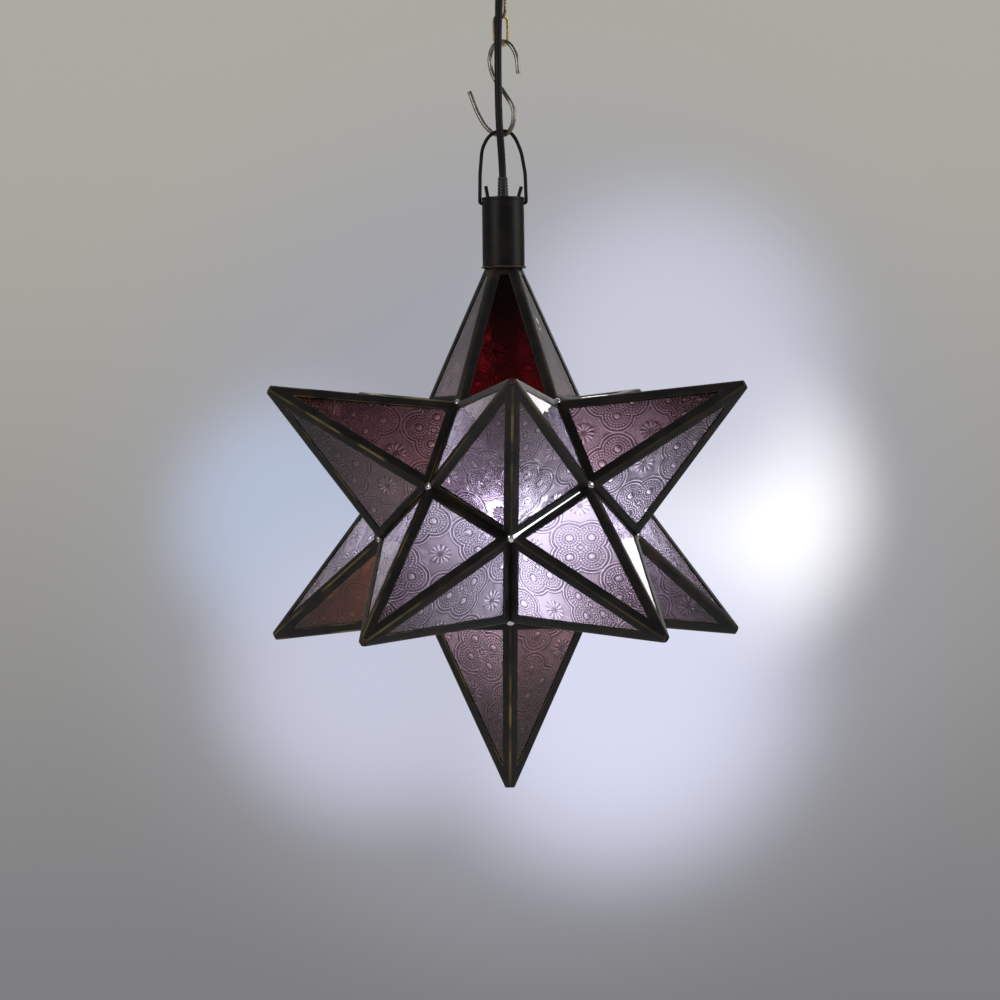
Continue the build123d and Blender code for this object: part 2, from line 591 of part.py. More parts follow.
# ---------------------------------------------------------------- door hinge and latch
def hinge_leaf(knuckles):
    """One leaf on its pane's foot, with a barrel along each span of the hinge line."""
    reach, stand = HINGE_LEAF_REACH, Vector(0, HINGE_STAND * cos(VALLEY_ANGLE),
                                            HINGE_STAND * sin(VALLEY_ANGLE))
    toe = HINGE_LEAF / tan(VALLEY_ANGLE) + HINGE_GAP
    clear = stand.Y + HINGE_BARREL / 2 + HINGE_GAP
    leaf = Pos(0, (clear + reach) / 2, HINGE_LEAF / 2) * Box(HINGE_LENGTH, reach - clear, HINGE_LEAF)
    for start, end in knuckles:
        middle, length = (start + end) / 2, end - start
        leaf += Pos(middle, (toe + reach) / 2, HINGE_LEAF / 2) * Box(length, reach - toe, HINGE_LEAF)
        leaf += Pos(middle, stand.Y, stand.Z / 2) * Box(length, HINGE_BARREL / 2, stand.Z)
        leaf += Pos(middle, stand.Y, stand.Z) * (Rot(Y=90) * Cylinder(HINGE_BARREL / 2, length))
    bore = Cylinder((HINGE_PIN + HINGE_PIN_FIT) / 2, 2 * HINGE_LENGTH)
    return leaf - Pos(0, stand.Y, stand.Z) * (Rot(Y=90) * bore)


def door_hinge_fixed():
    """The leaf on the top ray's pane, with the two outer knuckles."""
    half, middle = HINGE_LENGTH / 2, HINGE_MIDDLE / 2 + HINGE_GAP
    return edge_location("top", DOOR_TOP_PANE) * hinge_leaf([(-half, -middle), (middle, half)])


def door_hinge_moving():
    """The leaf on the door's upper pane, with the middle knuckle."""
    return edge_location("door", 0) * hinge_leaf([(-HINGE_MIDDLE / 2, HINGE_MIDDLE / 2)])


def door_hinge_pin():
    """The pin through all three knuckles, headed at one end."""
    pin = Cylinder(HINGE_PIN / 2, HINGE_LENGTH + 1)
    pin += Pos(0, 0, HINGE_LENGTH / 2 + 0.7) * Cylinder(HINGE_BARREL / 2 - 0.3, 0.8)
    stand = Pos(0, HINGE_STAND * cos(VALLEY_ANGLE), HINGE_STAND * sin(VALLEY_ANGLE))
    return edge_location("door", 0) * (stand * (Rot(Y=90) * pin))


def latch_plane():
    """The latch's own plane: X along the valley, Y towards the door, Z straight out."""
    foot = edge_location("door", DOOR_LATCH_PANE).position
    star = Vector(0, 0, STAR_Z)
    door_axis = plane_of("door").z_dir
    out = (foot - star).normalized()
    across = (door_axis - out * door_axis.dot(out)).normalized()
    return Plane(origin=foot, x_dir=across.cross(out), z_dir=out)


LATCH_SIDE = LATCH_FOOT * sin(VALLEY_ANGLE)     # each stud's distance from the valley's middle


def stud(side, name, pane):
    """A headed stud across the valley, its foot trimmed to the came that it stands on."""
    top = LATCH_LIFT + LATCH_THICK + SEAT_GAP
    foot = (LATCH_SIDE - LATCH_STUD / 2) / tan(VALLEY_ANGLE) - 0.2
    post = Pos(0, 0, foot) * extrude(Circle(LATCH_STUD / 2), top + STUD_HEAD_THICK - foot)
    post += Pos(0, 0, top) * extrude(Circle(STUD_HEAD / 2), STUD_HEAD_THICK)
    post = latch_plane().location * (Pos(0, side * LATCH_SIDE, 0) * post)
    came_body = extrude(pane_triangle(0, 0), -CAME_DEPTH)
    return post - edge_location(name, pane) * came_body


def latch_pivot():
    """The stud on the lower ray that the latch turns on."""
    return stud(-1, NEIGHBOUR, NEIGHBOUR_PANE)


def latch_stud():
    """The stud on the door that the latch's slot catches."""
    return stud(1, "door", DOOR_LATCH_PANE)


def latch_hook():
    """The flat latch, turned aside along the valley, its slot open towards the door."""
    reach = 2 * LATCH_SIDE
    end = reach + LATCH_SLOT / 2 + LATCH_WALL
    plate = Circle(LATCH_WIDTH / 2) + Pos(end / 2, 0) * Rectangle(end, LATCH_WIDTH)
    plate -= Circle((LATCH_STUD + LATCH_STUD_FIT) / 2)
    plate -= Pos(reach, 0) * Circle(LATCH_SLOT / 2)
    plate -= Pos(reach, LATCH_WIDTH / 2) * Rectangle(LATCH_SLOT, LATCH_WIDTH)
    plate = Pos(0, -LATCH_SIDE, LATCH_LIFT) * extrude(plate, LATCH_THICK)
    return latch_plane().location * plate


# ---------------------------------------------------------------- all the pieces
SINGLE_PIECES = [
    mounting_bar, canopy_shell, canopy_rod, canopy_nut, canopy_collar, canopy_loop, canopy_gland,
    terminal_block, canopy_cord_tail, power_cord, s_hook, bail, neck_tube, neck_plate, neck_rod,
    neck_nuts, cord_grip, neck_cord_tail, holder_cap, holder_sleeve, holder_insulator, screw_shell,
    holder_contact, lamp_cap, lamp_contact, lamp_collar, lamp_globe, door_hinge_fixed,
    door_hinge_moving, door_hinge_pin, latch_pivot, latch_stud, latch_hook]

nodes = {make.__name__: make() for make in SINGLE_PIECES}
nodes.update({f"chain_link_{number}": chain_link(number) for number in range(1, LINK_COUNT + 1)})
nodes.update(ray_nodes())

os.makedirs("parts", exist_ok=True)
for name, shape in nodes.items():
    export_step(shape, f"parts/{name}.step")
print(len(nodes), "nodes, star's middle at", round(STAR_Z, 2))
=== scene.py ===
# %% [markdown]
# A star lantern of pressed glass. The imported model gives every rigid piece its place.
# The script loads it first.

# %% Load the imported model
import json
import math
import random

import bpy
import numpy as np
from mathutils import Matrix, Vector, noise

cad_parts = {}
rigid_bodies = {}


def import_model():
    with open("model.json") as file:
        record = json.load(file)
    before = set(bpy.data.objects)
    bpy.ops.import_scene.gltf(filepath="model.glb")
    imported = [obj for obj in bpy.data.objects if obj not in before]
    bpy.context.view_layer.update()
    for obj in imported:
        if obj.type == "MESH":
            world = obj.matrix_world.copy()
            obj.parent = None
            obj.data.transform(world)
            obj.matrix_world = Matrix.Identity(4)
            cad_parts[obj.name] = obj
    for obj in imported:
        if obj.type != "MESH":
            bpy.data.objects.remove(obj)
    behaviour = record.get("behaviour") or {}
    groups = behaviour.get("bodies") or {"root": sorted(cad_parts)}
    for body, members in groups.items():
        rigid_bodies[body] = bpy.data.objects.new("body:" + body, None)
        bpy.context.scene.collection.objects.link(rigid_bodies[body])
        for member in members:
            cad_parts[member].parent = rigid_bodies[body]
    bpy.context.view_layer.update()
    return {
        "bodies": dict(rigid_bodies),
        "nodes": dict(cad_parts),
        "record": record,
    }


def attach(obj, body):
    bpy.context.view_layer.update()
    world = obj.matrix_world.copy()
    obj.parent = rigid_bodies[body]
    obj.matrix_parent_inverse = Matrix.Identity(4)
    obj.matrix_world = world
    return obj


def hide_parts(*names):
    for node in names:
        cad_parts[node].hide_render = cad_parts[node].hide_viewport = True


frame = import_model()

MM = 0.001
STAR_Z = -0.462662          # the star's middle, below the ceiling

# %% [markdown]
# The photograph was taken from far away with a long lens, level with the star and a little to
# its left. The camera is placed by the star's middle: where it falls in the picture, how large
# the star is there, and how far the whole picture leans.

# %% Camera
STAR_PIXEL = (506.7, 512.0)
FOCAL_PIXELS = 4649.0
CAMERA_DISTANCE = 3.487
CAMERA_AZIMUTH = math.radians(-1.66)
CAMERA_ROLL = math.radians(0.68)

star_middle = Vector((0, 0, STAR_Z))
camera_place = star_middle + CAMERA_DISTANCE * Vector((math.sin(CAMERA_AZIMUTH), -math.cos(CAMERA_AZIMUTH), 0))
sight = (star_middle - camera_place).normalized()
level_right = sight.cross(Vector((0, 0, 1))).normalized()
up = (Vector((0, 0, 1)) * math.cos(CAMERA_ROLL) + level_right * math.sin(CAMERA_ROLL)).normalized()
right = sight.cross(up).normalized()
facing = Matrix((right, up, -sight)).transposed()
star_in_view = Vector((STAR_PIXEL[0] - 500, 500 - STAR_PIXEL[1], -FOCAL_PIXELS)).normalized()
facing = facing @ star_in_view.rotation_difference(Vector((0, 0, -1))).to_matrix()

bpy.ops.object.camera_add(location=camera_place, rotation=facing.to_euler())
camera = bpy.context.object
camera.data.sensor_width = 36
camera.data.lens = 36 * FOCAL_PIXELS / 1000
camera.data.clip_end = 30
bpy.context.scene.camera = camera
print("lens", round(camera.data.lens, 1), "mm")

# %% [markdown]
# The cord is a two-core flex with a smooth black sheath. It leaves the gland under the canopy,
# hangs in front of the chain and goes into the grip in the neck. It has some slack, so it bows
# forward a little. Its line is one smooth curve through a few points, and each point follows the
# piece that it hangs beside, so that the cord stays whole when the star swings.

# %% The cord's route
CORD_DIAMETER = 0.0055
GLAND_MOUTH = -0.035
GRIP_MOUTH = -0.211575
# How far down each point lies, how far it stands aside and in front, and what it follows.
CORD_SHARES = (0.0, 0.0906, 0.2265, 0.3964, 0.5777, 0.7451, 0.8301, 0.9264, 1.0)
CORD_X = (0, 0, -1.2, -2.6, -2.9, -2.6, -1.8, -0.4, 0)
CORD_Y = (-19, -19, -13.5, -8.8, -7.6, -7.8, -7.6, -0.6, 0)
CORD_FOLLOWS = (None, None, "link_3", "link_2", "link_1", "hook", "hook", "star", "star")
cord_points = [
    Vector((x * MM, y * MM, GLAND_MOUTH + share * (GRIP_MOUTH - GLAND_MOUTH)))
    for x, y, share in zip(CORD_X, CORD_Y, CORD_SHARES)]
cord_span = sum((b - a).length for a, b in zip(cord_points, cord_points[1:]))
print("cord points span", round(cord_span, 4), "m")


# %% Helpers for modes and selection
def edit_mode():
    bpy.ops.object.mode_set(mode="EDIT")


def object_mode():
    bpy.ops.object.mode_set(mode="OBJECT")


def deselect():
    """Nothing selected, so that the next operator acts on the next piece alone."""
    bpy.ops.object.select_all(action="DESELECT")


def select_only(piece):
    deselect()
    piece.select_set(True)
    bpy.context.view_layer.objects.active = piece


def copy_of(piece, name):
    """A copy with its own mesh."""
    copy = piece.copy()
    copy.data = piece.data.copy()
    copy.name = name
    bpy.context.collection.objects.link(copy)
    return copy


def deselect_parts(kind):
    """Chooses vertices, edges or faces and deselects them all, so that code can pick some of them."""
    edit_mode()
    bpy.ops.mesh.select_mode(type=kind)
    bpy.ops.mesh.select_all(action="DESELECT")
    object_mode()


# %% The cord
def smooth_line(name, points, diameter):
    """A round wire or cord whose centre line is one NURBS curve."""
    deselect()
    line = bpy.data.curves.new(name, "CURVE")
    line.dimensions = "3D"
    spline = line.splines.new("NURBS")
    spline.points.add(len(points) - 1)
    for place, point in zip(spline.points, points):
        place.co, place.radius = (*point, 1), diameter / 2
    spline.order_u = 3
    spline.use_endpoint_u = True
    spline.resolution_u = 12
    line.bevel_depth = 1.0          # the points' own radius makes it as thick as the cord
    line.bevel_resolution = 3
    line.use_fill_caps = True
    wire = bpy.data.objects.new(name, line)
    bpy.context.collection.objects.link(wire)
    return wire


cord = smooth_line("cord", cord_points, CORD_DIAMETER)
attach(cord, "canopy")
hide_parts("power_cord")
for number, body in enumerate(CORD_FOLLOWS):
    if body:
        hook = cord.modifiers.new(f"hung_{number}", "HOOK")
        hook.object = frame["bodies"][body]
        hook.vertex_indices_set([number])
print("cord points that follow a moving piece:", sum(body is not None for body in CORD_FOLLOWS))

# %% [markdown]
# Every ray is a five-sided pyramid on one face of a dodecahedron, so the whole star comes from
# two numbers: the side of that face and the ray's height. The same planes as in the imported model
# are worked out here, so that a pane made flat on the ground can be laid into each of 60 places.

# %% The star's planes
EDGE = 73.5 * MM
RAY_HEIGHT = 133.2 * MM
TIP_CUT = 8.5 * MM
NECK_RADIUS = 15.9 * MM
NECK_WALL = 0.9 * MM
NECK_TUCK = 5.0 * MM
NECK_WINDOW_GAP = 6.0 * MM
BASE_APOTHEM = EDGE / (2 * math.tan(math.radians(36)))
BASE_RADIUS = EDGE / (2 * math.sin(math.radians(36)))
STAR_INRADIUS = EDGE / 2 * math.sqrt(5 / 2 + 11 / 10 * math.sqrt(5))
APEX_RADIUS = STAR_INRADIUS + RAY_HEIGHT
SLANT = math.hypot(RAY_HEIGHT, BASE_APOTHEM)
PANE_TILT = math.atan2(BASE_APOTHEM, RAY_HEIGHT)
HALF_ANGLE = math.atan(EDGE / 2 / SLANT)
RIDGE_ANGLE = math.acos(math.cos(PANE_TILT) * math.sin(math.radians(36)))
VALLEY_ANGLE = math.acos(
    (STAR_INRADIUS * math.cos(PANE_TILT) - BASE_APOTHEM * math.sin(PANE_TILT))
    / math.hypot(BASE_APOTHEM, STAR_INRADIUS))
NECK_FOOT = APEX_RADIUS - RAY_HEIGHT * (NECK_RADIUS - NECK_WALL) / BASE_RADIUS + 0.5 * MM
RING_TILT = math.atan(1 / 2)

# %% Where each ray stands
RAYS = {"top": (0, "top"), "bottom": (180, "bottom")}
for place, name in enumerate(["upper_front", "upper_right", "door", "upper_back_left", "upper_left"]):
    RAYS[name] = (72 * place, "upper")
for place, name in enumerate(
        ["lower_front_right", "lower_right", "lower_back", "lower_left", "lower_front_left"]):
    RAYS[name] = (72 * place + 36, "lower")


def ray_matrix(name):
    """Turns a ray that stands upright on the origin into its place on the star."""
    azimuth, ring = RAYS[name]
    level = Vector((math.sin(math.radians(azimuth)), -math.cos(math.radians(azimuth)), 0))
    up, rise, run = Vector((0, 0, 1)), math.sin(RING_TILT), math.cos(RING_TILT)
    axis, first = {
        "top": (up, level),
        "bottom": (-up, level),
        "upper": (level * run + up * rise, up * run - level * rise),
        "lower": (level * run - up * rise, -up * run - level * rise),
    }[ring]
    turned = Matrix((first, axis.cross(first), axis)).transposed().to_4x4()
    return Matrix.Translation(star_middle) @ turned


def pane_matrix(number):
    """Lays a flat pane, foot along X and slope along Y, into its place on an upright ray."""
    turn = math.radians(72 * number)
    foot = Vector((BASE_APOTHEM * math.cos(turn), BASE_APOTHEM * math.sin(turn), STAR_INRADIUS))
    along = Vector((-math.sin(turn), math.cos(turn), 0))
    out = Vector((
        math.cos(PANE_TILT) * math.cos(turn), math.cos(PANE_TILT) * math.sin(turn), math.sin(PANE_TILT)))
    turned = Matrix((along, out.cross(along), out)).transposed().to_4x4()
    return Matrix.Translation(foot) @ turned


def body_of_ray(name):
    return "door" if name == "door" else "star"


print("slant", round(SLANT / MM, 1), "mm, pane tip angle", round(2 * math.degrees(HALF_ANGLE), 1), "degrees")

# %% [markdown]
# A came is a strip of tinplate folded into a channel that grips the glass. On this star each pane
# has its own triangular frame of channel, with mitred corners, and the frames are soldered side by
# side along the ridges. That leaves two rounded folds with a groove between them, and those folds
# catch the light. The frame is made by extruding one triangle of edges again and again along the
# channel's section, because every step is then the same triangle moved in or down a little.

# %% Sizes of the came
CAME_FACE = 5.75 * MM
CAME_DEPTH = 3.4 * MM
GLASS_THICK = 2.0 * MM
GLASS_BITE = 3.0 * MM
RIDGE_MORE = 1.0 * MM       # the channel is dressed wider along the ridges
FOLD = 0.95 * MM            # radius of the channel's outer fold
LIP = 0.35 * MM             # radius of its rolled lip
WINDOW_BLUNT = 1.3 * MM     # solder that fills the sharp end of the window
SLACK = 0.05 * MM           # between the channel and the glass
# How far each loop of the section lies across the channel, for the wear and painted highlight: 0.1 the fold, 1 the
# lip.
ACROSS_SECTION = (0.0, 0.06, 0.16, 0.94, 1.0, 1.0, 0.5, 0.5, 0.6, 0.5, 0.5, 0.5)
glass_front = (CAME_DEPTH - GLASS_THICK) / 2
window_height = (NECK_FOOT - NECK_WINDOW_GAP - STAR_INRADIUS) / math.cos(PANE_TILT)
print("window of a top pane ends", round(window_height / MM, 1), "mm up the slope")


# %% The channel's section
def wall(depth):
    """Side and foot inset, and height, of a point on the mitred outer wall."""
    return depth / math.tan(RIDGE_ANGLE), -depth / math.tan(VALLEY_ANGLE), -depth


def corners(side, foot, height, top, trim=0.0):
    """The four corners of one loop of the frame; the top two nearly meet at the window's end."""
    sharp = SLANT - side / math.sin(HALF_ANGLE)
    head = min(top, sharp - WINDOW_BLUNT)
    foot += trim
    low, high = ((sharp - y) * math.tan(HALF_ANGLE) for y in (foot, head))
    return [(-low, foot, height), (low, foot, height), (high, head, height), (-high, head, height)]


def section():
    """The channel's section: side inset, foot inset, height and whether it lies on the window."""
    corner = 0.3 * FOLD
    steps = [(*wall(FOLD), False), (corner, corner, -corner, False), (FOLD, FOLD, 0, False)]
    for inset, height in (
            (CAME_FACE - LIP, 0), (CAME_FACE, -0.6 * LIP), (CAME_FACE, SLACK - glass_front),
            (CAME_FACE - GLASS_BITE, SLACK - glass_front),
            (CAME_FACE - GLASS_BITE, glass_front - SLACK - CAME_DEPTH),
            (CAME_FACE, glass_front - SLACK - CAME_DEPTH), (CAME_FACE, 0.6 * LIP - CAME_DEPTH),
            (CAME_FACE - LIP, -CAME_DEPTH)):
        steps.append((inset, inset, height, inset > CAME_FACE - 2 * LIP))
    return steps + [(*wall(CAME_DEPTH), False)]


# %% One pane's frame
def came_frame(name, head, window_head, trim):
    """One pane's frame, flat on the ground, with its section running all round."""
    deselect()
    bpy.ops.mesh.primitive_circle_add(vertices=4, radius=EDGE)
    frame_piece = bpy.context.object
    frame_piece.name = name
    loops = []
    for side, foot, height, on_window in section():
        over_glass = side > 0.9 * (CAME_FACE - GLASS_BITE)
        top = window_head if on_window or over_glass else head
        if window_head and over_glass and not on_window:
            top = window_head + GLASS_BITE
        more = RIDGE_MORE if over_glass else 0
        loops.append(corners(side + more, foot, height, top or SLANT, trim))
    for vertex, place in zip(frame_piece.data.vertices, loops[0]):
        vertex.co = place
    for loop in loops[1:]:
        edit_mode()
        bpy.ops.mesh.extrude_region_move()
        object_mode()
        new = [v for v in frame_piece.data.vertices if v.select]
        for vertex, place in zip(new, loop):
            vertex.co = place
    first, last = range(4), range(4 * len(loops) - 4, 4 * len(loops))
    deselect_parts("EDGE")
    for edge in frame_piece.data.edges:
        edge.select = all(v in first for v in edge.vertices) or all(v in last for v in edge.vertices)
    edit_mode()
    bpy.ops.mesh.bridge_edge_loops()
    bpy.ops.mesh.select_all(action="SELECT")
    bpy.ops.mesh.normals_make_consistent(inside=False)
    object_mode()
    layer = frame_piece.data.uv_layers.new(name="fold")
    for loop in frame_piece.data.loops:
        place = frame_piece.data.vertices[loop.vertex_index].co
        layer.data[loop.index].uv = (ACROSS_SECTION[loop.vertex_index // 4], place.y / SLANT)
    return frame_piece


plain_head = (RAY_HEIGHT - TIP_CUT) / math.cos(PANE_TILT)
neck_head = (NECK_FOOT + NECK_TUCK - STAR_INRADIUS) / math.cos(PANE_TILT)
plain_frame = came_frame("plain_came", plain_head, None, 0)
print("came frame:", len(plain_frame.data.polygons), "faces")

# %% [markdown]
# The panes are pressed glass: smooth outside, with a raised pattern inside. The pattern is an old
# one of four-lobed medallions inside a double line, with a small daisy in each gap. Its large
# forms, the lines, lobes and petals, are real relief here: a flat grid is cut to the pane's
# triangle, given its thickness, and its inner face is pushed out by a height worked out from the
# place on the sheet. The rows of tiny dots are finer than the grid, so the material adds them.

# %% The pressed pattern's large forms
PITCH = 50 * MM             # from one medallion to the next
LOBE_OUT = 11.5 * MM        # from a medallion's middle to a lobe's
LOBE = 9.6 * MM             # radius of a lobe
DAISY, PETALS = 8.6 * MM, 12
GRID = 1.1 * MM
RELIEF = 1.7 * MM           # how deep the roller presses
PANE_FREE = 0.3 * MM        # the pane is cut this much short of the channel's bottom


def ridge(distance, width):
    """A soft raised line, one at the line itself and nothing two widths away."""
    return np.exp(-(distance / width) ** 2)


def pressed_height(x, y):
    """Height of the relief at places on the sheet, in metres."""
    x, y = (np.abs((c + PITCH / 2) % PITCH - PITCH / 2) for c in (x, y))
    far, near = np.maximum(x, y), np.minimum(x, y)
    from_lobe = np.hypot(far - LOBE_OUT, near)
    outside = from_lobe - LOBE
    height = 0.34 * ridge(outside - 1.2 * MM, 0.75 * MM) + 0.30 * ridge(outside - 3.9 * MM, 0.9 * MM)
    height += 0.34 * np.clip(1 - (from_lobe / LOBE) ** 2, 0, 1) ** 0.5
    height += 0.40 * ridge(np.hypot((far - LOBE_OUT - 0.5 * MM) / 1.25, near), 1.9 * MM)
    height += 0.40 * ridge(np.hypot(far - 2.7 * MM, near - 2.7 * MM), 1.5 * MM)
    across, up = PITCH / 2 - x, PITCH / 2 - y
    reach, turn = np.hypot(across, up), np.arctan2(up, across)
    petals = np.clip(np.cos(PETALS * turn), 0, 1) * ridge(reach - 0.62 * DAISY, 0.36 * DAISY)
    height += 0.42 * petals + 0.35 * ridge(reach, 1.3 * MM)
    return RELIEF * height


# %% The flat blank of a pane
def cut_side(point, outwards):
    """Cuts off what lies outside a line across the flat grid."""
    bpy.ops.mesh.select_all(action="SELECT")
    bpy.ops.mesh.bisect(plane_co=point, plane_no=outwards, clear_outer=True)


def pane_blank(name, head):
    """A flat grid cut to the pane's triangle."""
    inset = CAME_FACE - GLASS_BITE + PANE_FREE
    sharp = SLANT - inset / math.sin(HALF_ANGLE)
    half = (sharp - inset) * math.tan(HALF_ANGLE)
    across, upward = round(2 * half / GRID), round((sharp - inset) / GRID)
    deselect()
    bpy.ops.mesh.primitive_grid_add(x_subdivisions=across, y_subdivisions=upward, size=1)
    blank = bpy.context.object
    blank.name = name
    blank.scale = (2 * half, sharp - inset, 1)
    blank.location = (0, (sharp + inset) / 2, 0)
    bpy.ops.object.transform_apply(location=True, rotation=False, scale=True)
    edit_mode()
    for side in (-1, 1):
        cut_side((0, sharp, 0), (side * math.cos(HALF_ANGLE), math.sin(HALF_ANGLE), 0))
    cut_side((0, min(head, sharp - WINDOW_BLUNT), 0), (0, 1, 0))
    object_mode()
    return blank


plain_blank = pane_blank("plain_pane", SLANT)
top_blank = pane_blank("top_pane", window_height + GLASS_BITE - PANE_FREE)
print("pane grid:", len(plain_blank.data.polygons), "faces; top ray:", len(top_blank.data.polygons))

# %% [markdown]
# A glazier cuts each triangle from whatever place on the sheet is left, so no two panes show the
# same part of the pattern. Each pane here is a copy of the flat blank that is given a place and a
# small turn on the sheet by a seeded draw. Its lower face is pushed out by the relief there, and
# the place on the sheet is kept as its UV map for the material's fine dots.

# %% Panes with their relief
SHEET_TURN = 0.35
draw = random.Random(12)


def pressed_pane(name, blank):
    """A copy of the blank, cut from some place on the sheet, with its thickness and relief."""
    pane = copy_of(blank, name)
    turn = draw.uniform(-SHEET_TURN, SHEET_TURN)
    shift = draw.uniform(0, PITCH), draw.uniform(0, PITCH)

    def on_sheet():
        x, y, _ = np.array([v.co for v in pane.data.vertices]).T
        return (x * math.cos(turn) - y * math.sin(turn) + shift[0],
                x * math.sin(turn) + y * math.cos(turn) + shift[1])

    relief = pressed_height(*on_sheet())
    select_only(pane)
    edit_mode()
    bpy.ops.mesh.select_all(action="SELECT")
    bpy.ops.mesh.extrude_region_move(TRANSFORM_OT_translate={"value": (0, 0, GLASS_THICK)})
    bpy.ops.mesh.select_all(action="SELECT")
    bpy.ops.mesh.normals_make_consistent(inside=False)
    object_mode()
    for vertex in pane.data.vertices:
        if vertex.co.z < GLASS_THICK / 2:
            vertex.co.z = -relief[vertex.index] - glass_front - GLASS_THICK
        else:
            vertex.co.z = -glass_front
    layer = pane.data.uv_layers.new(name="sheet")
    corner_vertices = np.zeros(len(pane.data.loops), int)
    pane.data.loops.foreach_get("vertex_index", corner_vertices)
    pairs = np.stack([side[corner_vertices] / PITCH for side in on_sheet()], 1)
    layer.data.foreach_set("uv", pairs.ravel().astype(np.float32))
    return pane


def laid_in(piece, ray, number):
    """The flat piece laid into its place, and its object back at the origin."""
    piece.data.transform(ray_matrix(ray) @ pane_matrix(number))
    piece.matrix_world = Matrix.Identity(4)
    return piece


def joined(pieces, name):
    """Several pieces made one, which keeps their materials."""
    deselect()
    for piece in pieces:
        piece.select_set(True)
    bpy.context.view_layer.objects.active = pieces[0]
    if len(pieces) > 1:
        bpy.ops.object.join()
    whole = bpy.context.object
    whole.name = whole.data.name = name
    return whole


# %% [markdown]
# The fittings above the star are turned or bent. A turned piece is drawn as one profile and spun
# about the axis, as a spinner or a lathe would make it. A bent piece is a wire drawn round a few
# points, with its corners rounded, as it would be bent round pegs in a board.

# %% Helpers for turned pieces and bent wires
new_pieces = []


def rounded(points, radii, steps=5, closed=False):
    """The line with its corners rounded to about that radius, or to half of their shorter side."""
    points = [Vector(point) for point in points]
    count = len(points)
    radii = radii if isinstance(radii, list) else [radii] * count
    line = [] if closed else [points[0]]
    for i in range(0 if closed else 1, count if closed else count - 1):
        corner = points[i]
        back, on = points[i - 1] - corner, points[(i + 1) % count] - corner
        half = back.angle(on) / 2
        reach = min(radii[i] / math.tan(half), 0.48 * back.length, 0.48 * on.length)
        start, end = corner + back.normalized() * reach, corner + on.normalized() * reach
        for share in (step / steps for step in range(steps + 1)):
            line.append(start.lerp(corner, share).lerp(corner.lerp(end, share), share))
    return line if closed else line + [points[-1]]


def stands_for(piece, body, finish, *nodes, look=None):
    """The finished piece rides on its body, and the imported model's own pieces are hidden."""
    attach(piece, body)
    if nodes:
        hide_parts(*nodes)
    new_pieces.append((piece, look or finish))
    return piece


def merged_and_facing_out():
    """Merges the doubles of the mesh in edit mode, turns its faces outwards and leaves edit mode."""
    bpy.ops.mesh.select_all(action="SELECT")
    bpy.ops.mesh.remove_doubles(threshold=1e-6)
    bpy.ops.mesh.normals_make_consistent(inside=False)
    object_mode()


def turned(name, profile, y=0.0, z=0.0, closed=True, steps=72):
    """A piece spun from its profile of radius and height in millimetres, about an upright axis."""
    profile = [(radius * MM, height * MM) for radius, height in profile]
    profile += profile[:1] if closed else []
    deselect()
    bpy.ops.mesh.primitive_plane_add(size=MM)
    piece = bpy.context.object
    piece.name = piece.data.name = name
    edit_mode()
    bpy.ops.mesh.select_mode(type="VERT")
    bpy.ops.mesh.select_all(action="SELECT")
    bpy.ops.mesh.merge(type="CENTER")
    bpy.ops.transform.translate(value=(profile[0][0], y, z + profile[0][1]))
    for (r0, h0), (r1, h1) in zip(profile, profile[1:]):
        bpy.ops.mesh.extrude_vertices_move(TRANSFORM_OT_translate={"value": (r1 - r0, 0, h1 - h0)})
    bpy.ops.mesh.select_all(action="SELECT")
    bpy.ops.mesh.spin(steps=steps, angle=2 * math.pi, center=(0, y, z), axis=(0, 0, 1))
    merged_and_facing_out()
    bpy.ops.object.shade_smooth_by_angle(angle=math.radians(35))
    return piece


def bent(name, line, diameter, turn=0.0, z=0.0, closed=False, sides=4):
    """A round wire along a line in the XZ plane, in millimetres, turned about Z and set at a height."""
    deselect()
    curve = bpy.data.curves.new(name, "CURVE")
    curve.dimensions = "3D"
    spline = curve.splines.new("POLY")
    spline.points.add(len(line) - 1)
    placed = Matrix.Translation((0, 0, z)) @ Matrix.Rotation(math.radians(turn), 4, "Z")
    for place, point in zip(spline.points, line):
        place.co = (*(placed @ (Vector(point) * MM)), 1)
    spline.use_cyclic_u = closed
    curve.bevel_depth, curve.bevel_resolution = diameter * MM / 2, sides
    curve.use_fill_caps = not closed
    wire = bpy.data.objects.new(name, curve)
    bpy.context.collection.objects.link(wire)
    select_only(wire)
    bpy.ops.object.convert(target="MESH")
    edit_mode()
    merged_and_facing_out()
    bpy.ops.object.shade_smooth_by_angle(angle=math.radians(40))
    return bpy.context.object


def arc(middle_x, middle_z, radius, start, end, steps):
    """Points on a circle in the XZ plane, between two angles in degrees."""
    angles = [math.radians(start + (end - start) * i / steps) for i in range(steps + 1)]
    return [(middle_x + radius * math.cos(a), 0, middle_z + radius * math.sin(a)) for a in angles]


def outline(*points):
    """The same line as radius and height, for turning."""
    return [(p[0], p[-1]) for p in points]


# %% [markdown]
# The canopy is a shallow spun dome with a rolled rim and one pressed step. A small gland takes the
# cord out in front of its middle, and a boss with a ring, screwed on the rod, carries the chain.
# The photograph stops below it, so its form is the usual one for a hanging lantern.

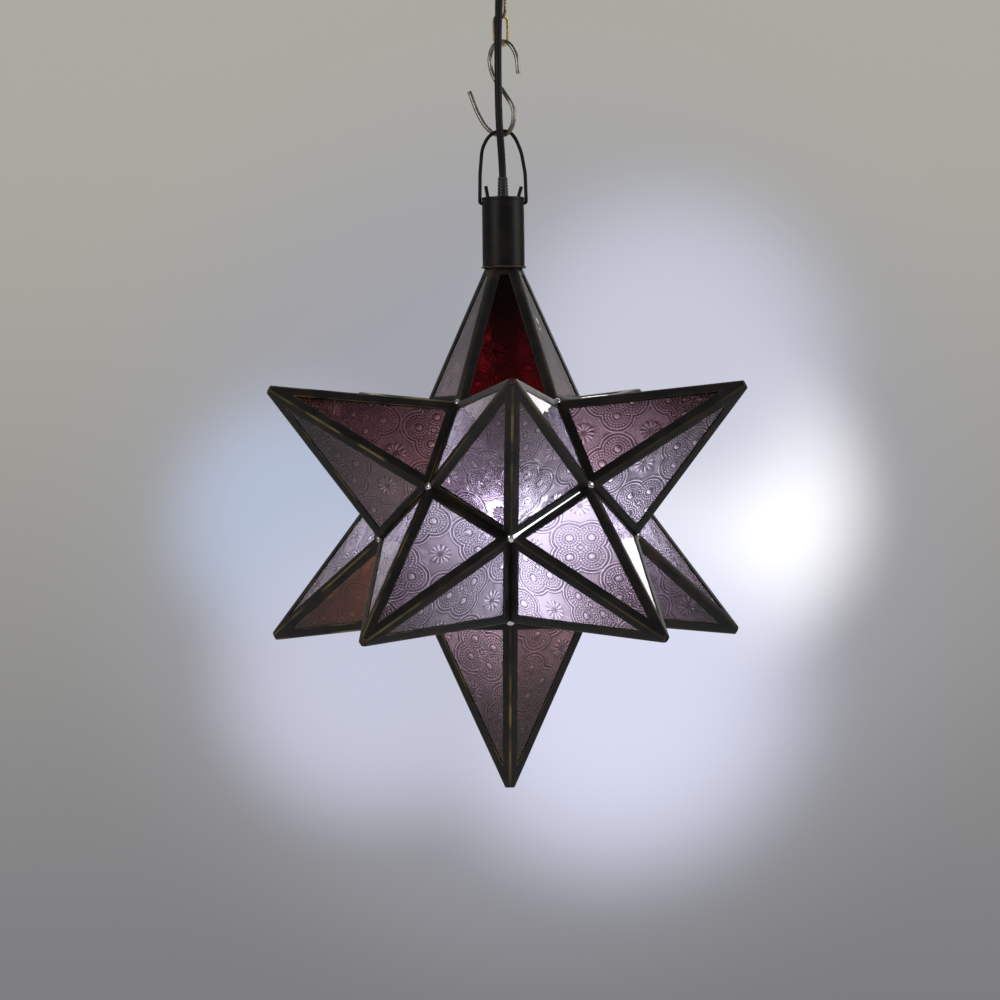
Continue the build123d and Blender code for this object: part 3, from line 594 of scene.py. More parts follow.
# %% Canopy shell
shell_line = outline(
    (59.0, 0), (59.6, -0.2), (60, -0.8), (60, -3), *arc(37, -3, 23, 0, -38, 8),
    *arc(37, -3, 22.2, -41, -87, 8), (36.5, -25.9), (27.4, -26), (26.4, -25.4), (24.4, -25.4), (23.4, -26),
    (5.1, -26), (5.1, -25), (23.4, -25), (24.4, -24.4), (26.4, -24.4), (27.4, -25), (36.5, -25),
    *arc(37, -3, 21.4, -87, -3, 14), (58.8, -3), (58.8, -0.8))
shell = stands_for(turned("canopy_dome", shell_line, steps=128), "canopy", "canopy_paint", "canopy_shell")

# %% Gland
gland_line = rounded([(p[0], 0, p[1]) for p in (
    (2.85, -35), (4.05, -35), (5.5, -29), (5.5, -26), (3.9, -26), (3.9, -25), (5.5, -25),
    (5.5, -23.5), (3.9, -23.5), (3.9, -22), (2.85, -22))], 0.35, 3, closed=True)
gland = turned("cord_gland", outline(*gland_line), y=-19 * MM, steps=48)
deselect()
bpy.ops.mesh.primitive_torus_add(location=(0, -0.019, -0.0285), major_radius=5.25 * MM, minor_radius=0.4 * MM,
                                 major_segments=48, minor_segments=8)
gland = stands_for(joined([gland, bpy.context.object], "cord_gland"), "canopy", "black_plastic", "canopy_gland")

# %% Collar with pressed flats
collar = turned("rod_collar", outline(
    (5.1, -26.4), (8.6, -26.4), (9.3, -26.8), (9.6, -27.6), (9.6, -30.0), (9.3, -30.8), (8.6, -31.2), (5.1, -31.2)),
    steps=24)
deselect_parts("FACE")
for face in collar.data.polygons:
    face.select = abs(face.normal.z) < 0.1 and math.hypot(*face.center.xy) > 9 * MM
edit_mode()
bpy.ops.mesh.inset(thickness=0.3 * MM, depth=-0.25 * MM, use_individual=True)
object_mode()
collar = stands_for(collar, "canopy", "canopy_paint", "canopy_collar")

# %% Boss and ring
LINK_TURN = 31.0
boss_line = outline(
    (0, -36.2), (5.1, -36.2), (5.1, -31.4), (6.6, -31.4), (7.0, -31.8), (7.0, -33.2), (6.6, -33.5), (6.6, -33.9),
    (7.0, -34.2), (7.0, -36.6), (6.4, -37.7), (5.3, -38.4), (0, -38.4))
boss = turned("loop_boss", boss_line, closed=False)
ring = bent("chain_ring", arc(0, 0, 7, 90, 438, 58), 3.5, LINK_TURN - 270, -44.525 * MM, closed=True, sides=6)
loop = stands_for(joined([boss, ring], "boss_and_ring"), "canopy", "brass", "canopy_loop")
print("dome:", len(shell.data.polygons), "faces; ring and boss:", len(loop.data.polygons))

# %% [markdown]
# The chain is brass: three oblong links, each one bent round from a straight wire, with its two
# ends butted together on one side but not soldered. The hook is one length of plated wire, closed
# over the lowest link and pulled open below, as in the photograph.

# %% Chain
for number, turn in ((1, LINK_TURN), (2, LINK_TURN - 90), (3, LINK_TURN - 180)):
    link_line = [(6, 0, 0.25)] + arc(0, 5.6, 6, 0, 180, 16) + arc(0, -5.6, 6, 180, 360, 16) + [(6, 0, -0.2)]
    link = bent(f"link_of_wire_{number}", link_line, 2.3, turn, STAR_Z + (361.537 + 20.6 * (number - 1)) * MM)
    stands_for(link, f"link_{number}", "brass", f"chain_link_{number}")

# %% Hook
HOOK_FOOT, HOOK_HEAD = 282.687, 352.987
hook_points = [
    (16, 0, HOOK_HEAD - 25), (15, 0, HOOK_HEAD - 11), (6.5, 0, HOOK_HEAD), (-6, 0, HOOK_HEAD),
    (-12, 0, HOOK_HEAD - 11), (-9, 0, HOOK_HEAD - 25), (2, 0, HOOK_HEAD - 38), (11.5, 0, HOOK_FOOT + 20),
    (11, 0, HOOK_FOOT + 8), (5, 0, HOOK_FOOT), (-6, 0, HOOK_FOOT), (-16, 0, HOOK_FOOT + 7),
    (-24, 0, HOOK_FOOT + 19), (-31, 0, HOOK_FOOT + 34.5)]
hook_wire = bent("wire_hook", rounded(hook_points, 60, 8), 3.4, -40, STAR_Z, sides=5)
stands_for(hook_wire, "hook", "hook_steel", "s_hook")

# %% [markdown]
# The bail is a handle of dark wire over the neck. Its ends go in through two holes and are bent up
# inside, where they show above the rim. It was bent by hand, so one shoulder is a little lower and
# rounder than the other.

# %% Bail
HOLES, CROWN = 231.587, 285.787
bail_points = [
    (-12.8, 0, HOLES + 13), (-11.4, 0, HOLES + 5), (-11.4, 0, HOLES), (-17.4, 0, HOLES),
    (-17, 0, HOLES + 22), (-15.3, 0, CROWN - 13), (-10.6, 0, CROWN - 4.2), (-4.6, 0, CROWN),
    (5.2, 0, CROWN), (9.8, 0, CROWN - 5.2), (14.2, 0, CROWN - 16), (16.9, 0, HOLES + 22),
    (17.4, 0, HOLES), (11.4, 0, HOLES), (11.6, 0, HOLES + 5), (13.9, 0, HOLES + 12.4)]
bail_radii = [2.0 if abs(point[2] - HOLES) < 1 else 40.0 for point in bail_points]
bail_wire = bent("wire_bail", rounded(bail_points, bail_radii, 7), 2.7, 0, STAR_Z, sides=5)
stands_for(bail_wire, "bail", "dark_metal", "bail")
print("hook:", len(hook_wire.data.polygons), "faces; bail:", len(bail_wire.data.polygons))

# %% [markdown]
# The neck is a strip of the same blackened tinplate rolled into a tube. Its upper edge is turned in
# over a wire, its seam is lapped at the back, and solder runs round its foot where the four cames
# of the top ray's ridges go up into it. The grip in its mouth holds the cord with a ribbed sleeve
# that narrows upwards, so that the cord can't kink there.

# %% Neck tube with its holes
RIM, FOOT = 236.087, NECK_FOOT / MM
neck_line = outline(
    (15.9, FOOT), (15.9, RIM - 3.4), (15.75, RIM - 2.9), (15.9, RIM - 2.4), *arc(15.2, RIM - 0.7, 0.7, 0, 180, 6),
    (14.5, RIM - 1.3), (15.0, RIM - 1.9), (15.0, FOOT))
tube = turned("rolled_neck", neck_line, z=STAR_Z, steps=96)
deselect()
bpy.ops.mesh.primitive_cylinder_add(vertices=24, radius=1.5 * MM, depth=0.06, rotation=(0, math.pi / 2, 0),
                                    location=(0, 0, STAR_Z + HOLES * MM))
drill = bpy.context.object
cut = tube.modifiers.new("holes", "BOOLEAN")
cut.operation, cut.object, cut.solver = "DIFFERENCE", drill, "EXACT"
select_only(tube)
bpy.ops.object.modifier_apply(modifier="holes")
bpy.data.objects.remove(drill)

# %% Lapped seam
deselect()
seam_place = (-3 * MM, 15.75 * MM, STAR_Z + (FOOT + RIM) / 2 * MM - 1.5 * MM)
bpy.ops.mesh.primitive_cube_add(size=1, location=seam_place)
seam = bpy.context.object
seam.name = "lapped_seam"
seam.scale = (5 * MM, 0.5 * MM, (RIM - FOOT - 6) * MM)
bpy.ops.object.transform_apply(location=True, rotation=False, scale=True)
edit_mode()
bpy.ops.mesh.subdivide(number_cuts=7)
object_mode()
for vertex in seam.data.vertices:                 # wraps the strip round the tube
    around, away = vertex.co.x / (15.9 * MM), vertex.co.y
    vertex.co.x, vertex.co.y = away * math.sin(around), away * math.cos(around)
bpy.ops.object.shade_smooth_by_angle(angle=math.radians(35))
neck = stands_for(joined([tube, seam], "neck_of_tinplate"), "star", "dark_metal", "neck_tube")

# %% Solder round the foot
bead_line = outline(*arc(16.0, FOOT + 0.1, 0.8, 0, 360, 10)[:-1])
bead = turned("solder_round_foot", bead_line, z=STAR_Z, steps=120)
for vertex in bead.data.vertices:                 # solder runs unevenly
    way = vertex.co - Vector((0, 0, STAR_Z + FOOT * MM))
    swell = noise.noise(vertex.co * 160)
    vertex.co += Vector((way.x, way.y, 0)).normalized() * 0.25 * MM * swell - Vector((0, 0, 0.7 * MM * abs(swell)))
stands_for(bead, "star", "dark_metal", look="solder")

# %% Cord grip
grip_foot, sleeve_top = 199.1, 251.087
ribs = []
for rib in range(7):
    height = 232.0 + 2.4 * rib
    wide = 4.3 - 0.09 * rib
    ribs += [(wide, height), (wide, height + 1.5), (wide - 0.5, height + 1.75), (wide - 0.5, height + 2.15)]
grip_line = [
    (5.05, grip_foot), (6.2, grip_foot), (6.5, grip_foot + 0.3), (6.5, 207), (6.1, 207.8), (4.4, 210.2), (4.3, 210.8),
    *ribs, (3.7, 249.5), (3.3, sleeve_top), (2.85, sleeve_top), (2.85, 206.2), (5.05, 206.2)]
grip = turned("ribbed_cord_grip", grip_line, z=STAR_Z, steps=48)
stands_for(grip, "star", "black_plastic", "cord_grip")
print("neck:", len(neck.data.polygons), "faces; grip:", len(grip.data.polygons))

# %% [markdown]
# Solder closes the star. A blunt drop sits on the cut-off tip of each ray, browned by the iron, and
# a small bright one fills the pit where the feet of three rays meet. The door's own pits stay
# empty, or it wouldn't open. Each drop is a ball that is pressed flat and dented by noise. One
# joint in front, up from the middle pit to the right, isn't quite closed, and the lamp shows
# through it as a bright line. That line is painted light: a thin strip in the bottom of that
# groove which glows by itself.

# %% A drop of solder
def solder_drop(place, outwards, radius, flat):
    """A dented ball, flattened along its outward direction."""
    deselect()
    bpy.ops.mesh.primitive_ico_sphere_add(subdivisions=3, radius=radius)
    drop = bpy.context.object
    stand = outwards.to_track_quat("Z", "Y").to_matrix().to_4x4()
    for vertex in drop.data.vertices:
        dent = 1 + 0.16 * noise.noise(vertex.co * 420 + place * 900)
        vertex.co = Vector((vertex.co.x * dent, vertex.co.y * dent, vertex.co.z * flat * dent))
    drop.data.transform(Matrix.Translation(place) @ stand)
    bpy.ops.object.shade_smooth()
    return drop


# %% Drops on the tips and in the pits
TIP_DROP, TIP_SUNK, PIT_BEAD = 2.4 * MM, 2.2 * MM, 2.9 * MM
tips, pits, door_corners = {"star": [], "door": []}, {}, set()
for ray in RAYS:
    upright = ray_matrix(ray)
    axis = upright.to_3x3() @ Vector((0, 0, 1))
    if ray != "top":
        tips[body_of_ray(ray)].append(
            solder_drop(star_middle + axis * (APEX_RADIUS - TIP_CUT - TIP_SUNK), axis, TIP_DROP, 0.75))
    for corner in range(5):
        turn = math.radians(36 + 72 * corner)
        place = upright @ Vector((BASE_RADIUS * math.cos(turn), BASE_RADIUS * math.sin(turn), STAR_INRADIUS))
        key = tuple(round(c / MM) for c in place)
        pits[key] = place
        if ray == "door":
            door_corners.add(key)
beads = [
    solder_drop(place, place - star_middle, PIT_BEAD, 0.55)
    for key, place in sorted(pits.items()) if key not in door_corners]
for body, drops in tips.items():
    stands_for(joined(drops, f"{body}_tip_solder"), body, "came", look="browned solder")
stands_for(joined(beads, "pit_solder"), "star", "came", look="tin")
print("solder:", sum(len(drops) for drops in tips.values()), "tips and", len(beads), "pits of", len(pits))

# %% The open joint's strip of painted light
middle_pit = Vector((0, -101.2, -482.0)) * MM
right_pit = Vector((59.5, -81.8, -443.3)) * MM
along = right_pit - middle_pit
reach = 0.84 * along.length                       # the rest, at the far end, is soldered shut
deselect()
bpy.ops.mesh.primitive_cylinder_add(vertices=12, radius=1, depth=reach)
painted_leak_strip = bpy.context.object
painted_leak_strip.name = "open_joint"
edit_mode()
bpy.ops.mesh.subdivide(number_cuts=11)
bpy.ops.mesh.remove_doubles(threshold=1e-6)
object_mode()
for vertex in painted_leak_strip.data.vertices:                 # widest at the pit, narrowing and uneven upwards
    share = vertex.co.z / reach + 0.5
    wide = 0.3 + 0.4 * (1 - share) + 0.9 * max(0, 1 - 8 * share)
    wide *= 1 + 0.5 * noise.noise(Vector((0, 0, 11 * share)))
    vertex.co.x, vertex.co.y = vertex.co.x * wide * MM, vertex.co.y * wide * MM
lay = along.to_track_quat("Z", "Y").to_matrix().to_4x4()
outward = ((middle_pit + right_pit) / 2 - star_middle).normalized()
painted_leak_strip.data.transform(Matrix.Translation(middle_pit + along * 0.44 + outward * 0.3 * MM) @ lay)
select_only(painted_leak_strip)
bpy.ops.object.shade_smooth()
# painted light: the strip glows by itself, standing for lamp light through the joint
stands_for(painted_leak_strip, "star", "lamp_glass", look="light")
print("open joint:", round(reach / MM, 1), "mm long")

# %% [markdown]
# Materials are sums over a surface: how worn it is here, how deep the dots are there. A small
# class wraps a socket, so that such a sum can be written as plain Python and becomes Math nodes.

# %% A class for shader sums
class Shade:
    """A socket in a material's tree. Arithmetic on it adds Math nodes."""

    def __init__(self, tree, socket=None):
        self.tree, self.socket = tree, socket

    def node(self, kind, settings=None, inputs=None, output=0):
        """Adds a node: its settings first, then the values or links of its sockets."""
        made = self.tree.nodes.new("ShaderNode" + kind)
        for name, value in (settings or {}).items():
            setattr(made, name, value)
        for name, value in (inputs or {}).items():
            if isinstance(value, Shade):
                self.tree.links.new(value.socket, made.inputs[name])
            elif isinstance(value, tuple) and len(value) == 3 and made.inputs[name].type == "RGBA":
                made.inputs[name].default_value = (*value, 1)
            else:
                made.inputs[name].default_value = value
        return Shade(self.tree, made.outputs[output])

    def math(self, operation, *others, clamp=False):
        return self.node("Math", {"operation": operation, "use_clamp": clamp}, dict(enumerate((self, *others))))

    def __add__(self, other): return self.math("ADD", other)
    def __sub__(self, other): return self.math("SUBTRACT", other)
    def __mul__(self, other): return self.math("MULTIPLY", other)
    def __pow__(self, other): return self.math("POWER", other)
    def __abs__(self): return self.math("ABSOLUTE")
    def __radd__(self, other): return self + other
    def __rmul__(self, other): return self * other

    def __rsub__(self, other):
        return self.node("Math", {"operation": "SUBTRACT"}, {0: other, 1: self})

    def ramp(self, low, high):
        """From 0 at low to 1 at high, smooth at both ends."""
        return self.node("MapRange", {"interpolation_type": "SMOOTHSTEP"},
                         {"Value": self, "From Min": low, "From Max": high})

    def mix(self, first, second):
        """A colour between two, by this share of the second."""
        return self.node("Mix", {"data_type": "RGBA"}, {"Factor": self, 6: first, 7: second}, output=2)


# %% A class for finishes
class Finish(Shade):
    """A new material whose tree is empty apart from its output."""

    def __init__(self, name):
        self.material = bpy.data.materials.new(name)
        self.material.use_nodes = True
        super().__init__(self.material.node_tree)
        self.tree.nodes.clear()
        self.place = self.node("TexCoord", output=3)

    def spots(self, scale, detail):
        """Noise over the object, in blotches of 1 / scale metres."""
        return self.node("TexNoise", {}, {"Vector": self.place, "Scale": scale, "Detail": detail})

    def bumps(self, height, depth):
        """A Normal from a height in 0 to 1, depth metres high."""
        return self.node("Bump", {}, {"Height": height, "Strength": 1.0, "Distance": depth})

    def show(self, shader):
        """Links the shader to the material's output."""
        out = self.tree.nodes.new("ShaderNodeOutputMaterial")
        self.tree.links.new(shader.socket, out.inputs["Surface"])
        return self.material

    def principled(self, **inputs):
        """A Principled shader, with its sockets named by words joined with underscores."""
        return self.node("BsdfPrincipled", {}, {k.replace("_", " "): v for k, v in inputs.items()})


# %% [markdown]
# The cames are tinplate that was blackened and then handled: nearly black on the flats, with dull
# brass where the folds are rubbed, and a reddish bloom from the soldering iron in a few places.
# The brass on the fold and the lip is partly that wear and partly painted highlight, and it is
# painted strongest on the left, where the light falls. It follows the metal's own folds, so it is
# read from how far a point is across the channel, which the frames carry as a UV map.

# %% Came metal
def came_metal():
    f = Finish("blackened came")
    across = f.node("SeparateXYZ", {}, {0: f.node("UVMap", {"uv_map": "fold"})}, output=0)
    cloud, grain, scuffs = f.spots(60, 3), f.spots(900, 2), f.spots(38, 2)
    side = f.node("SeparateXYZ", {}, {0: f.place}, output=0)
    # painted highlight: the brass on the fold and lip is painted stronger on the left, where the light falls, on top
    # of the wear
    patches = (f.spots(7, 1) - 2.2 * side).ramp(0.36, 0.62)       # rubbed most on the left
    rubbed_and_lit = scuffs.ramp(0.42, 0.66) * (0.12 + 0.88 * patches)
    fold = (1 - abs(across - 0.115).ramp(0.025, 0.075)) * (0.06 + 0.94 * rubbed_and_lit)
    lip = (1 - abs(across - 0.97).ramp(0.01, 0.05)) * (0.04 + 0.96 * rubbed_and_lit)
    # worn holds wear and painted highlight together: the brass lines on the fold and the lip
    worn = fold.math("MAXIMUM", lip)
    black = cloud.ramp(0.35, 0.75).mix((0.008, 0.0075, 0.007), (0.020, 0.016, 0.012))
    bloom = f.spots(30, 2).ramp(0.62, 0.80) * 0.45
    black = bloom.mix(black, (0.065, 0.018, 0.010))
    colour = worn.mix(black, (0.26, 0.20, 0.065))
    rough = 0.36 + 0.22 * cloud - 0.05 * worn
    normal = f.bumps(cloud * 0.7 + grain * 0.3, 0.2 * MM)
    return f.show(f.principled(
        Base_Color=colour, Metallic=0.3 + 0.6 * worn, Roughness=rough, Specular_IOR_Level=0.3, Normal=normal))


came_black = came_metal()
print("came finish:", len(came_black.node_tree.nodes), "nodes")

# %% [markdown]
# Glass is tinted through and through, so the tint is the shader's colour and light loses some of
# it at each face it passes. The tint is painted paler near the lamp, as painted light. The outer
# face is smooth and glossy. The inner face carries the relief, and the rows of tiny dots inside
# each lobe are a bump: rings round the lobe's middle crossed with spokes, read from the place on
# the sheet that each pane keeps in its UV map. The lines, dots and petals are painted into the
# colour as well, lighter on the crests and dots as painted highlights and darker on the flanks as
# painted shade.

# %% Tints
LAMP_NEAR, LAMP_FAR = 85 * MM, 195 * MM
HAZE = 0.34                 # the share of light that the pressed face scatters
DOT_ROW, DOT_SPOKES = 2.1, 22
# painted light: of each pair, the first is the tint as painted near the lamp, the second far from it
TINTS = {                   # thin and near the lamp, deep and far from it
    "lilac": ((0.88, 0.82, 0.95), (0.55, 0.41, 0.46)),
    "mauve": ((0.56, 0.42, 0.47), (0.17, 0.08, 0.08)),
    "dusk": ((0.50, 0.41, 0.52), (0.28, 0.16, 0.19)),
    "wine": ((0.44, 0.28, 0.29), (0.21, 0.085, 0.07)),
    "umber": ((0.32, 0.23, 0.24), (0.08, 0.035, 0.03)),
    "clay": ((0.36, 0.14, 0.07), (0.24, 0.06, 0.02)),
    "ruby": ((0.26, 0.008, 0.015), (0.022, 0.003, 0.006)),
}


def glass_colour(f, name):
    """The tint, painted paler near the star's middle, where the lamp is, as painted light, and deeper farther out."""
    tint_near_lamp, deep = TINTS[name]
    away = f.node("VectorMath", {"operation": "DISTANCE"}, {0: f.place, 1: (0, 0, STAR_Z)}, output=1)
    # painted light: the tint pales towards the lamp at the star's middle, with a random drift on top
    depth = away.ramp(LAMP_NEAR, LAMP_FAR) * 0.8 + 0.4 * (f.spots(14, 1) - 0.4)
    return depth.math("MINIMUM", 1.0, clamp=True).mix(tint_near_lamp, deep)


# %% The two faces of a pane
def smooth_glass(name):
    """The fire-polished outer face."""
    f = Finish(f"{name} glass outside")
    normal = f.bumps(f.spots(45, 2), 0.6 * MM)
    return f.show(f.principled(
        Base_Color=glass_colour(f, name), Roughness=0.02, IOR=1.5, Transmission_Weight=1.0, Normal=normal))


def dotted_glass(name):
    """The pressed inner face: its fine lines and dots, with painted highlights and shade, hazy enough to glow before
    the lamp.
    """
    f = Finish(f"{name} glass inside")
    pitch, lobe, daisy = PITCH / MM, LOBE / MM, DAISY / MM
    sheet = f.node("UVMap", {"uv_map": "sheet"})
    x, y = (f.node("SeparateXYZ", {}, {0: sheet}, output=axis) for axis in (0, 1))
    x, y = (abs((c + 0.5).math("FRACT") - 0.5) * pitch for c in (x, y))
    far, near = x.math("MAXIMUM", y), x.math("MINIMUM", y)
    out = far - LOBE_OUT / MM
    reach = (out * out + near * near).math("SQRT")
    outside = reach - lobe

    def line(value, middle, half):
        """1 on a line where the value is the middle, 0 half a line's width away."""
        return 1 - abs(value - middle).ramp(0.35 * half, half)

    rows = ((outside + 1.2) * (2 * math.pi / DOT_ROW)).math("COSINE") * 0.5 + 0.5
    spokes = (near.math("ARCTAN2", out) * DOT_SPOKES).math("COSINE") * 0.5 + 0.5
    within = reach.ramp(3.4, 4.2) * (1 - reach.ramp(9.0, 9.6))
    dots = (rows * spokes * 1.5).math("MINIMUM", 1.0) * within
    crests = line(outside, 1.2, 0.7) + line(outside, 3.9, 0.8) + line(reach, 0, 2.6)
    painted_flank_shade = (line(outside, 0.35, 0.5) + line(outside, 2.1, 0.55) + line(outside, 3.0, 0.5)
              + line(outside, 4.8, 0.55) + line(reach, 3.1, 0.6))
    across, upward = pitch / 2 - x, pitch / 2 - y
    bloom = (across * across + upward * upward).math("SQRT")
    petals = (upward.math("ARCTAN2", across) * PETALS).math("COSINE") * 0.5 + 0.5
    petals = petals * line(bloom, 0.60 * daisy, 0.45 * daisy)
    in_bloom = 1 - bloom.ramp(0.85 * daisy, 1.05 * daisy)
    fine = f.spots(1300, 1)
    height = 0.55 * dots + 0.6 * crests + 0.7 * petals + 0.08 * fine
    # painted highlight and painted shade: crests, dots and petals are painted lighter and the flanks darker, as the
    # relief would bend the light
    light = (0.62 + 0.45 * crests - 0.55 * painted_flank_shade + within * (1.15 * dots - 0.42)
             + in_bloom * (1.2 * petals - 0.40) + 0.25 * (fine - 0.5))
    colour = light.math("MAXIMUM", 0.0).math("MINIMUM", 1.0).mix((0.10, 0.07, 0.09), (1.0, 1.0, 1.0))
    colour = f.node("Mix", {"data_type": "RGBA", "blend_type": "MULTIPLY"}, {
        "Factor": 1.0, 6: glass_colour(f, name), 7: colour}, output=2)
    normal = f.bumps(height + 1.2 * f.spots(110, 1), 1.3 * MM)
    clear = f.principled(Base_Color=colour, Roughness=0.11, IOR=1.5, Transmission_Weight=1.0, Normal=normal)
    haze = f.node("BsdfTranslucent", {}, {"Color": colour, "Normal": normal})
    return f.show(f.node("MixShader", {}, {0: HAZE, 1: clear, 2: haze}))


# %% Which pane has which tint
PANE_FACES = {name: (smooth_glass(name), dotted_glass(name)) for name in TINTS}
PANE_TINTS = {
    ("top", 0): "ruby", ("top", 1): "umber", ("top", 4): "umber", ("upper_left", 4): "wine",
    ("upper_left", 3): "umber", ("lower_left", 1): "clay", ("upper_right", 1): "mauve", ("bottom", 2): "wine",
    ("bottom", 3): "mauve", ("upper_front", 2): "dusk", ("upper_back_left", 2): "wine", ("door", 3): "mauve",
    ("lower_back", 1): "mauve", ("lower_right", 4): "dusk"}
print("tints:", ", ".join(TINTS), "and", len(PANE_TINTS), "panes that aren't lilac")

# %% [markdown]
# Now each ray gets its five frames and five panes. The flat pieces are copied, laid into the
# ray's planes and joined, so that a ray is one piece of metal and one of glass, as it would be
# after soldering. The ray at the back is a door for changing the lamp and rides on its own body.
# Its frames are cut a hair short at the foot, and those of the top ray open for the neck.

# %% Frames and panes in their sixty places
top_frame = came_frame("top_came", neck_head, window_height, 0)
door_frame = came_frame("door_came", plain_head, None, 0.25 * MM)


def build_ray(ray):
    """One ray's five frames as one piece and its five panes as another."""
    pattern = {"top": top_frame, "door": door_frame}.get(ray, plain_frame)
    blank = top_blank if ray == "top" else plain_blank
    frames, panes = [], []
    for number in range(5):
        came = copy_of(pattern, f"{ray}_came_{number}")
        came.data.materials.append(came_black)
        frames.append(laid_in(came, ray, number))
        pane = pressed_pane(f"{ray}_pane_{number}", blank)
        for face in PANE_FACES[PANE_TINTS.get((ray, number), "lilac")]:
            pane.data.materials.append(face)
        for polygon in pane.data.polygons:
            polygon.material_index = 0 if polygon.normal.z > 0.5 else 1
        panes.append(laid_in(pane, ray, number))
    cames = joined(frames, f"{ray}_cames")
    glass = joined(panes, f"{ray}_panes")
    for piece, node, slot in ((cames, "frame", "came"), (glass, "glass", "lilac_glass")):
        select_only(piece)
        bpy.ops.object.shade_smooth_by_angle(angle=math.radians(35))
        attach(piece, body_of_ray(ray))
        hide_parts(f"{ray}_{node}")
    return cames, glass


built = {ray: build_ray(ray) for ray in RAYS}
for blank in (plain_frame, top_frame, door_frame, plain_blank, top_blank):
    bpy.data.objects.remove(blank)
print("glass:", sum(len(glass.data.polygons) for _, glass in built.values()), "faces in", len(built), "rays")

# %% [markdown]
# The other pieces have quiet finishes: blackened wire and tinplate, worn plating, aged brass, zinc,
# black mouldings and white ceramic. Each is one colour that drifts to a second one in soft clouds,
# with a roughness that drifts along and a very fine grain, since no worn metal is quite even. The
# lamp and the open joint glow by themselves.

# %% Plain and glowing finishes
def plain(name, colour, metallic, roughness, second=None, depth=0.1, gloss=0.5):
    """A finish that drifts between two colours. Without a second one, that is the first, darker."""
    f = Finish(name)
    cloud = f.spots(90, 3)
    shade = cloud.ramp(0.35, 0.7).mix(colour, second or tuple(c * 0.75 for c in colour))
    return f.show(f.principled(
        Base_Color=shade, Metallic=metallic, Roughness=roughness + 0.15 * (cloud - 0.5),
        Specular_IOR_Level=gloss, Normal=f.bumps(f.spots(400, 2), depth * MM)))


def glowing(name, strength):
    """Glow by itself: the lamp's white globe, a little dimmer towards its collar, and the open joint's painted light.
    """
    f = Finish(name)
    upward = f.node("SeparateXYZ", {}, {0: f.place}, output=2)
    lit = upward.ramp(STAR_Z + 5 * MM, STAR_Z + 35 * MM).mix((0.86, 0.92, 1.0), (0.66, 0.72, 0.84))
    return f.show(f.principled(Base_Color=(0.9, 0.92, 0.95), Roughness=0.4, Emission_Color=lit,
                               Emission_Strength=strength))


# %% Each slot's finish
MATERIALS = {
    "zinc": plain("zinc plate", (0.45, 0.46, 0.48), 1.0, 0.35),
    "canopy_paint": plain("satin black paint", (0.012, 0.012, 0.013), 0.0, 0.38, gloss=0.3),
    "brass": plain("aged brass", (0.50, 0.38, 0.17), 1.0, 0.35, (0.16, 0.11, 0.05)),
    "hook_steel": plain("worn plated wire", (0.42, 0.39, 0.33), 1.0, 0.38, (0.16, 0.14, 0.11)),
    "solder": plain("tarnished solder", (0.10, 0.085, 0.07), 0.9, 0.42, (0.10, 0.035, 0.02)),
    "browned solder": plain("browned solder", (0.09, 0.022, 0.014), 0.6, 0.4, (0.03, 0.02, 0.016)),
    "tin": plain("bright solder", (0.80, 0.78, 0.78), 1.0, 0.16, (0.55, 0.50, 0.50)),
    "black_plastic": plain("black moulding", (0.018, 0.018, 0.019), 0.0, 0.45),
    "cord": plain("black sheath", (0.007, 0.007, 0.0075), 0.0, 0.5, gloss=0.25),
    "dark_metal": plain("blackened metal", (0.006, 0.0065, 0.007), 0.3, 0.42, (0.016, 0.010, 0.007), gloss=0.2),
    "ceramic": plain("white ceramic", (0.75, 0.73, 0.68), 0.0, 0.3),
    "contact_brass": plain("contact brass", (0.65, 0.52, 0.24), 1.0, 0.3),
    "lamp_metal": plain("nickelled cap", (0.62, 0.61, 0.59), 1.0, 0.25),
    "lamp_plastic": plain("white moulding", (0.8, 0.8, 0.79), 0.0, 0.4),
    "lamp_glass": glowing("lit frosted globe", 5.0),
    # painted light: the open joint's strip glows though it is no lamp
    "light": glowing("lamp light in an open joint", 1.6),
}

# %% Every piece gets its finish
slots = {row["node"]: row["material_slot"] for row in frame["record"]["subparts"]}
finished = [(piece, slots[node]) for node, piece in frame["nodes"].items()]
for piece, finish in finished + [(cord, "cord")] + new_pieces:
    piece.data.materials.clear()
    piece.data.materials.append(MATERIALS.get(finish, came_black))
print("finishes:", len(MATERIALS), "on", len(finished), "packed and", len(new_pieces), "new pieces")

# %% [markdown]
# The lantern hangs before a pale wall, on which its light lies in soft pools. A world stands for
# the wall: the camera, reflections and what is seen through glass get the wall's colours, while
# all other rays get an even pale light, so the pools don't light the lantern. Seen from other
# sides the wall is plain. For glossy and clear glass the rest of the room is light and dark in
# large soft patches, because glass and metal look dead in an even room.

# %% Backdrop
WALL_LOW, WALL_HIGH, PLAIN_WALL = (0.20, 0.20, 0.215), (0.41, 0.40, 0.36), (0.50, 0.50, 0.51)
POOLS = (                   # across and down the picture, reach in its pixels, colour
    (545, 520, 600, (0.36, 0.365, 0.415)), (712, 505, 220, (1.2, 1.2, 1.25)), (300, 520, 190, (0.46, 0.52, 0.66)),
    (615, 680, 280, (0.70, 0.71, 0.88)), (370, 670, 220, (0.56, 0.57, 0.70)), (670, 360, 250, (0.58, 0.59, 0.70)))
world = bpy.data.worlds.new("room")
bpy.context.scene.world = world
world.use_nodes = True
room = Shade(world.node_tree)
world.node_tree.nodes.clear()
direction = room.node("TexCoord", output=0)
height = room.node("SeparateXYZ", {}, {0: direction}, output=2)


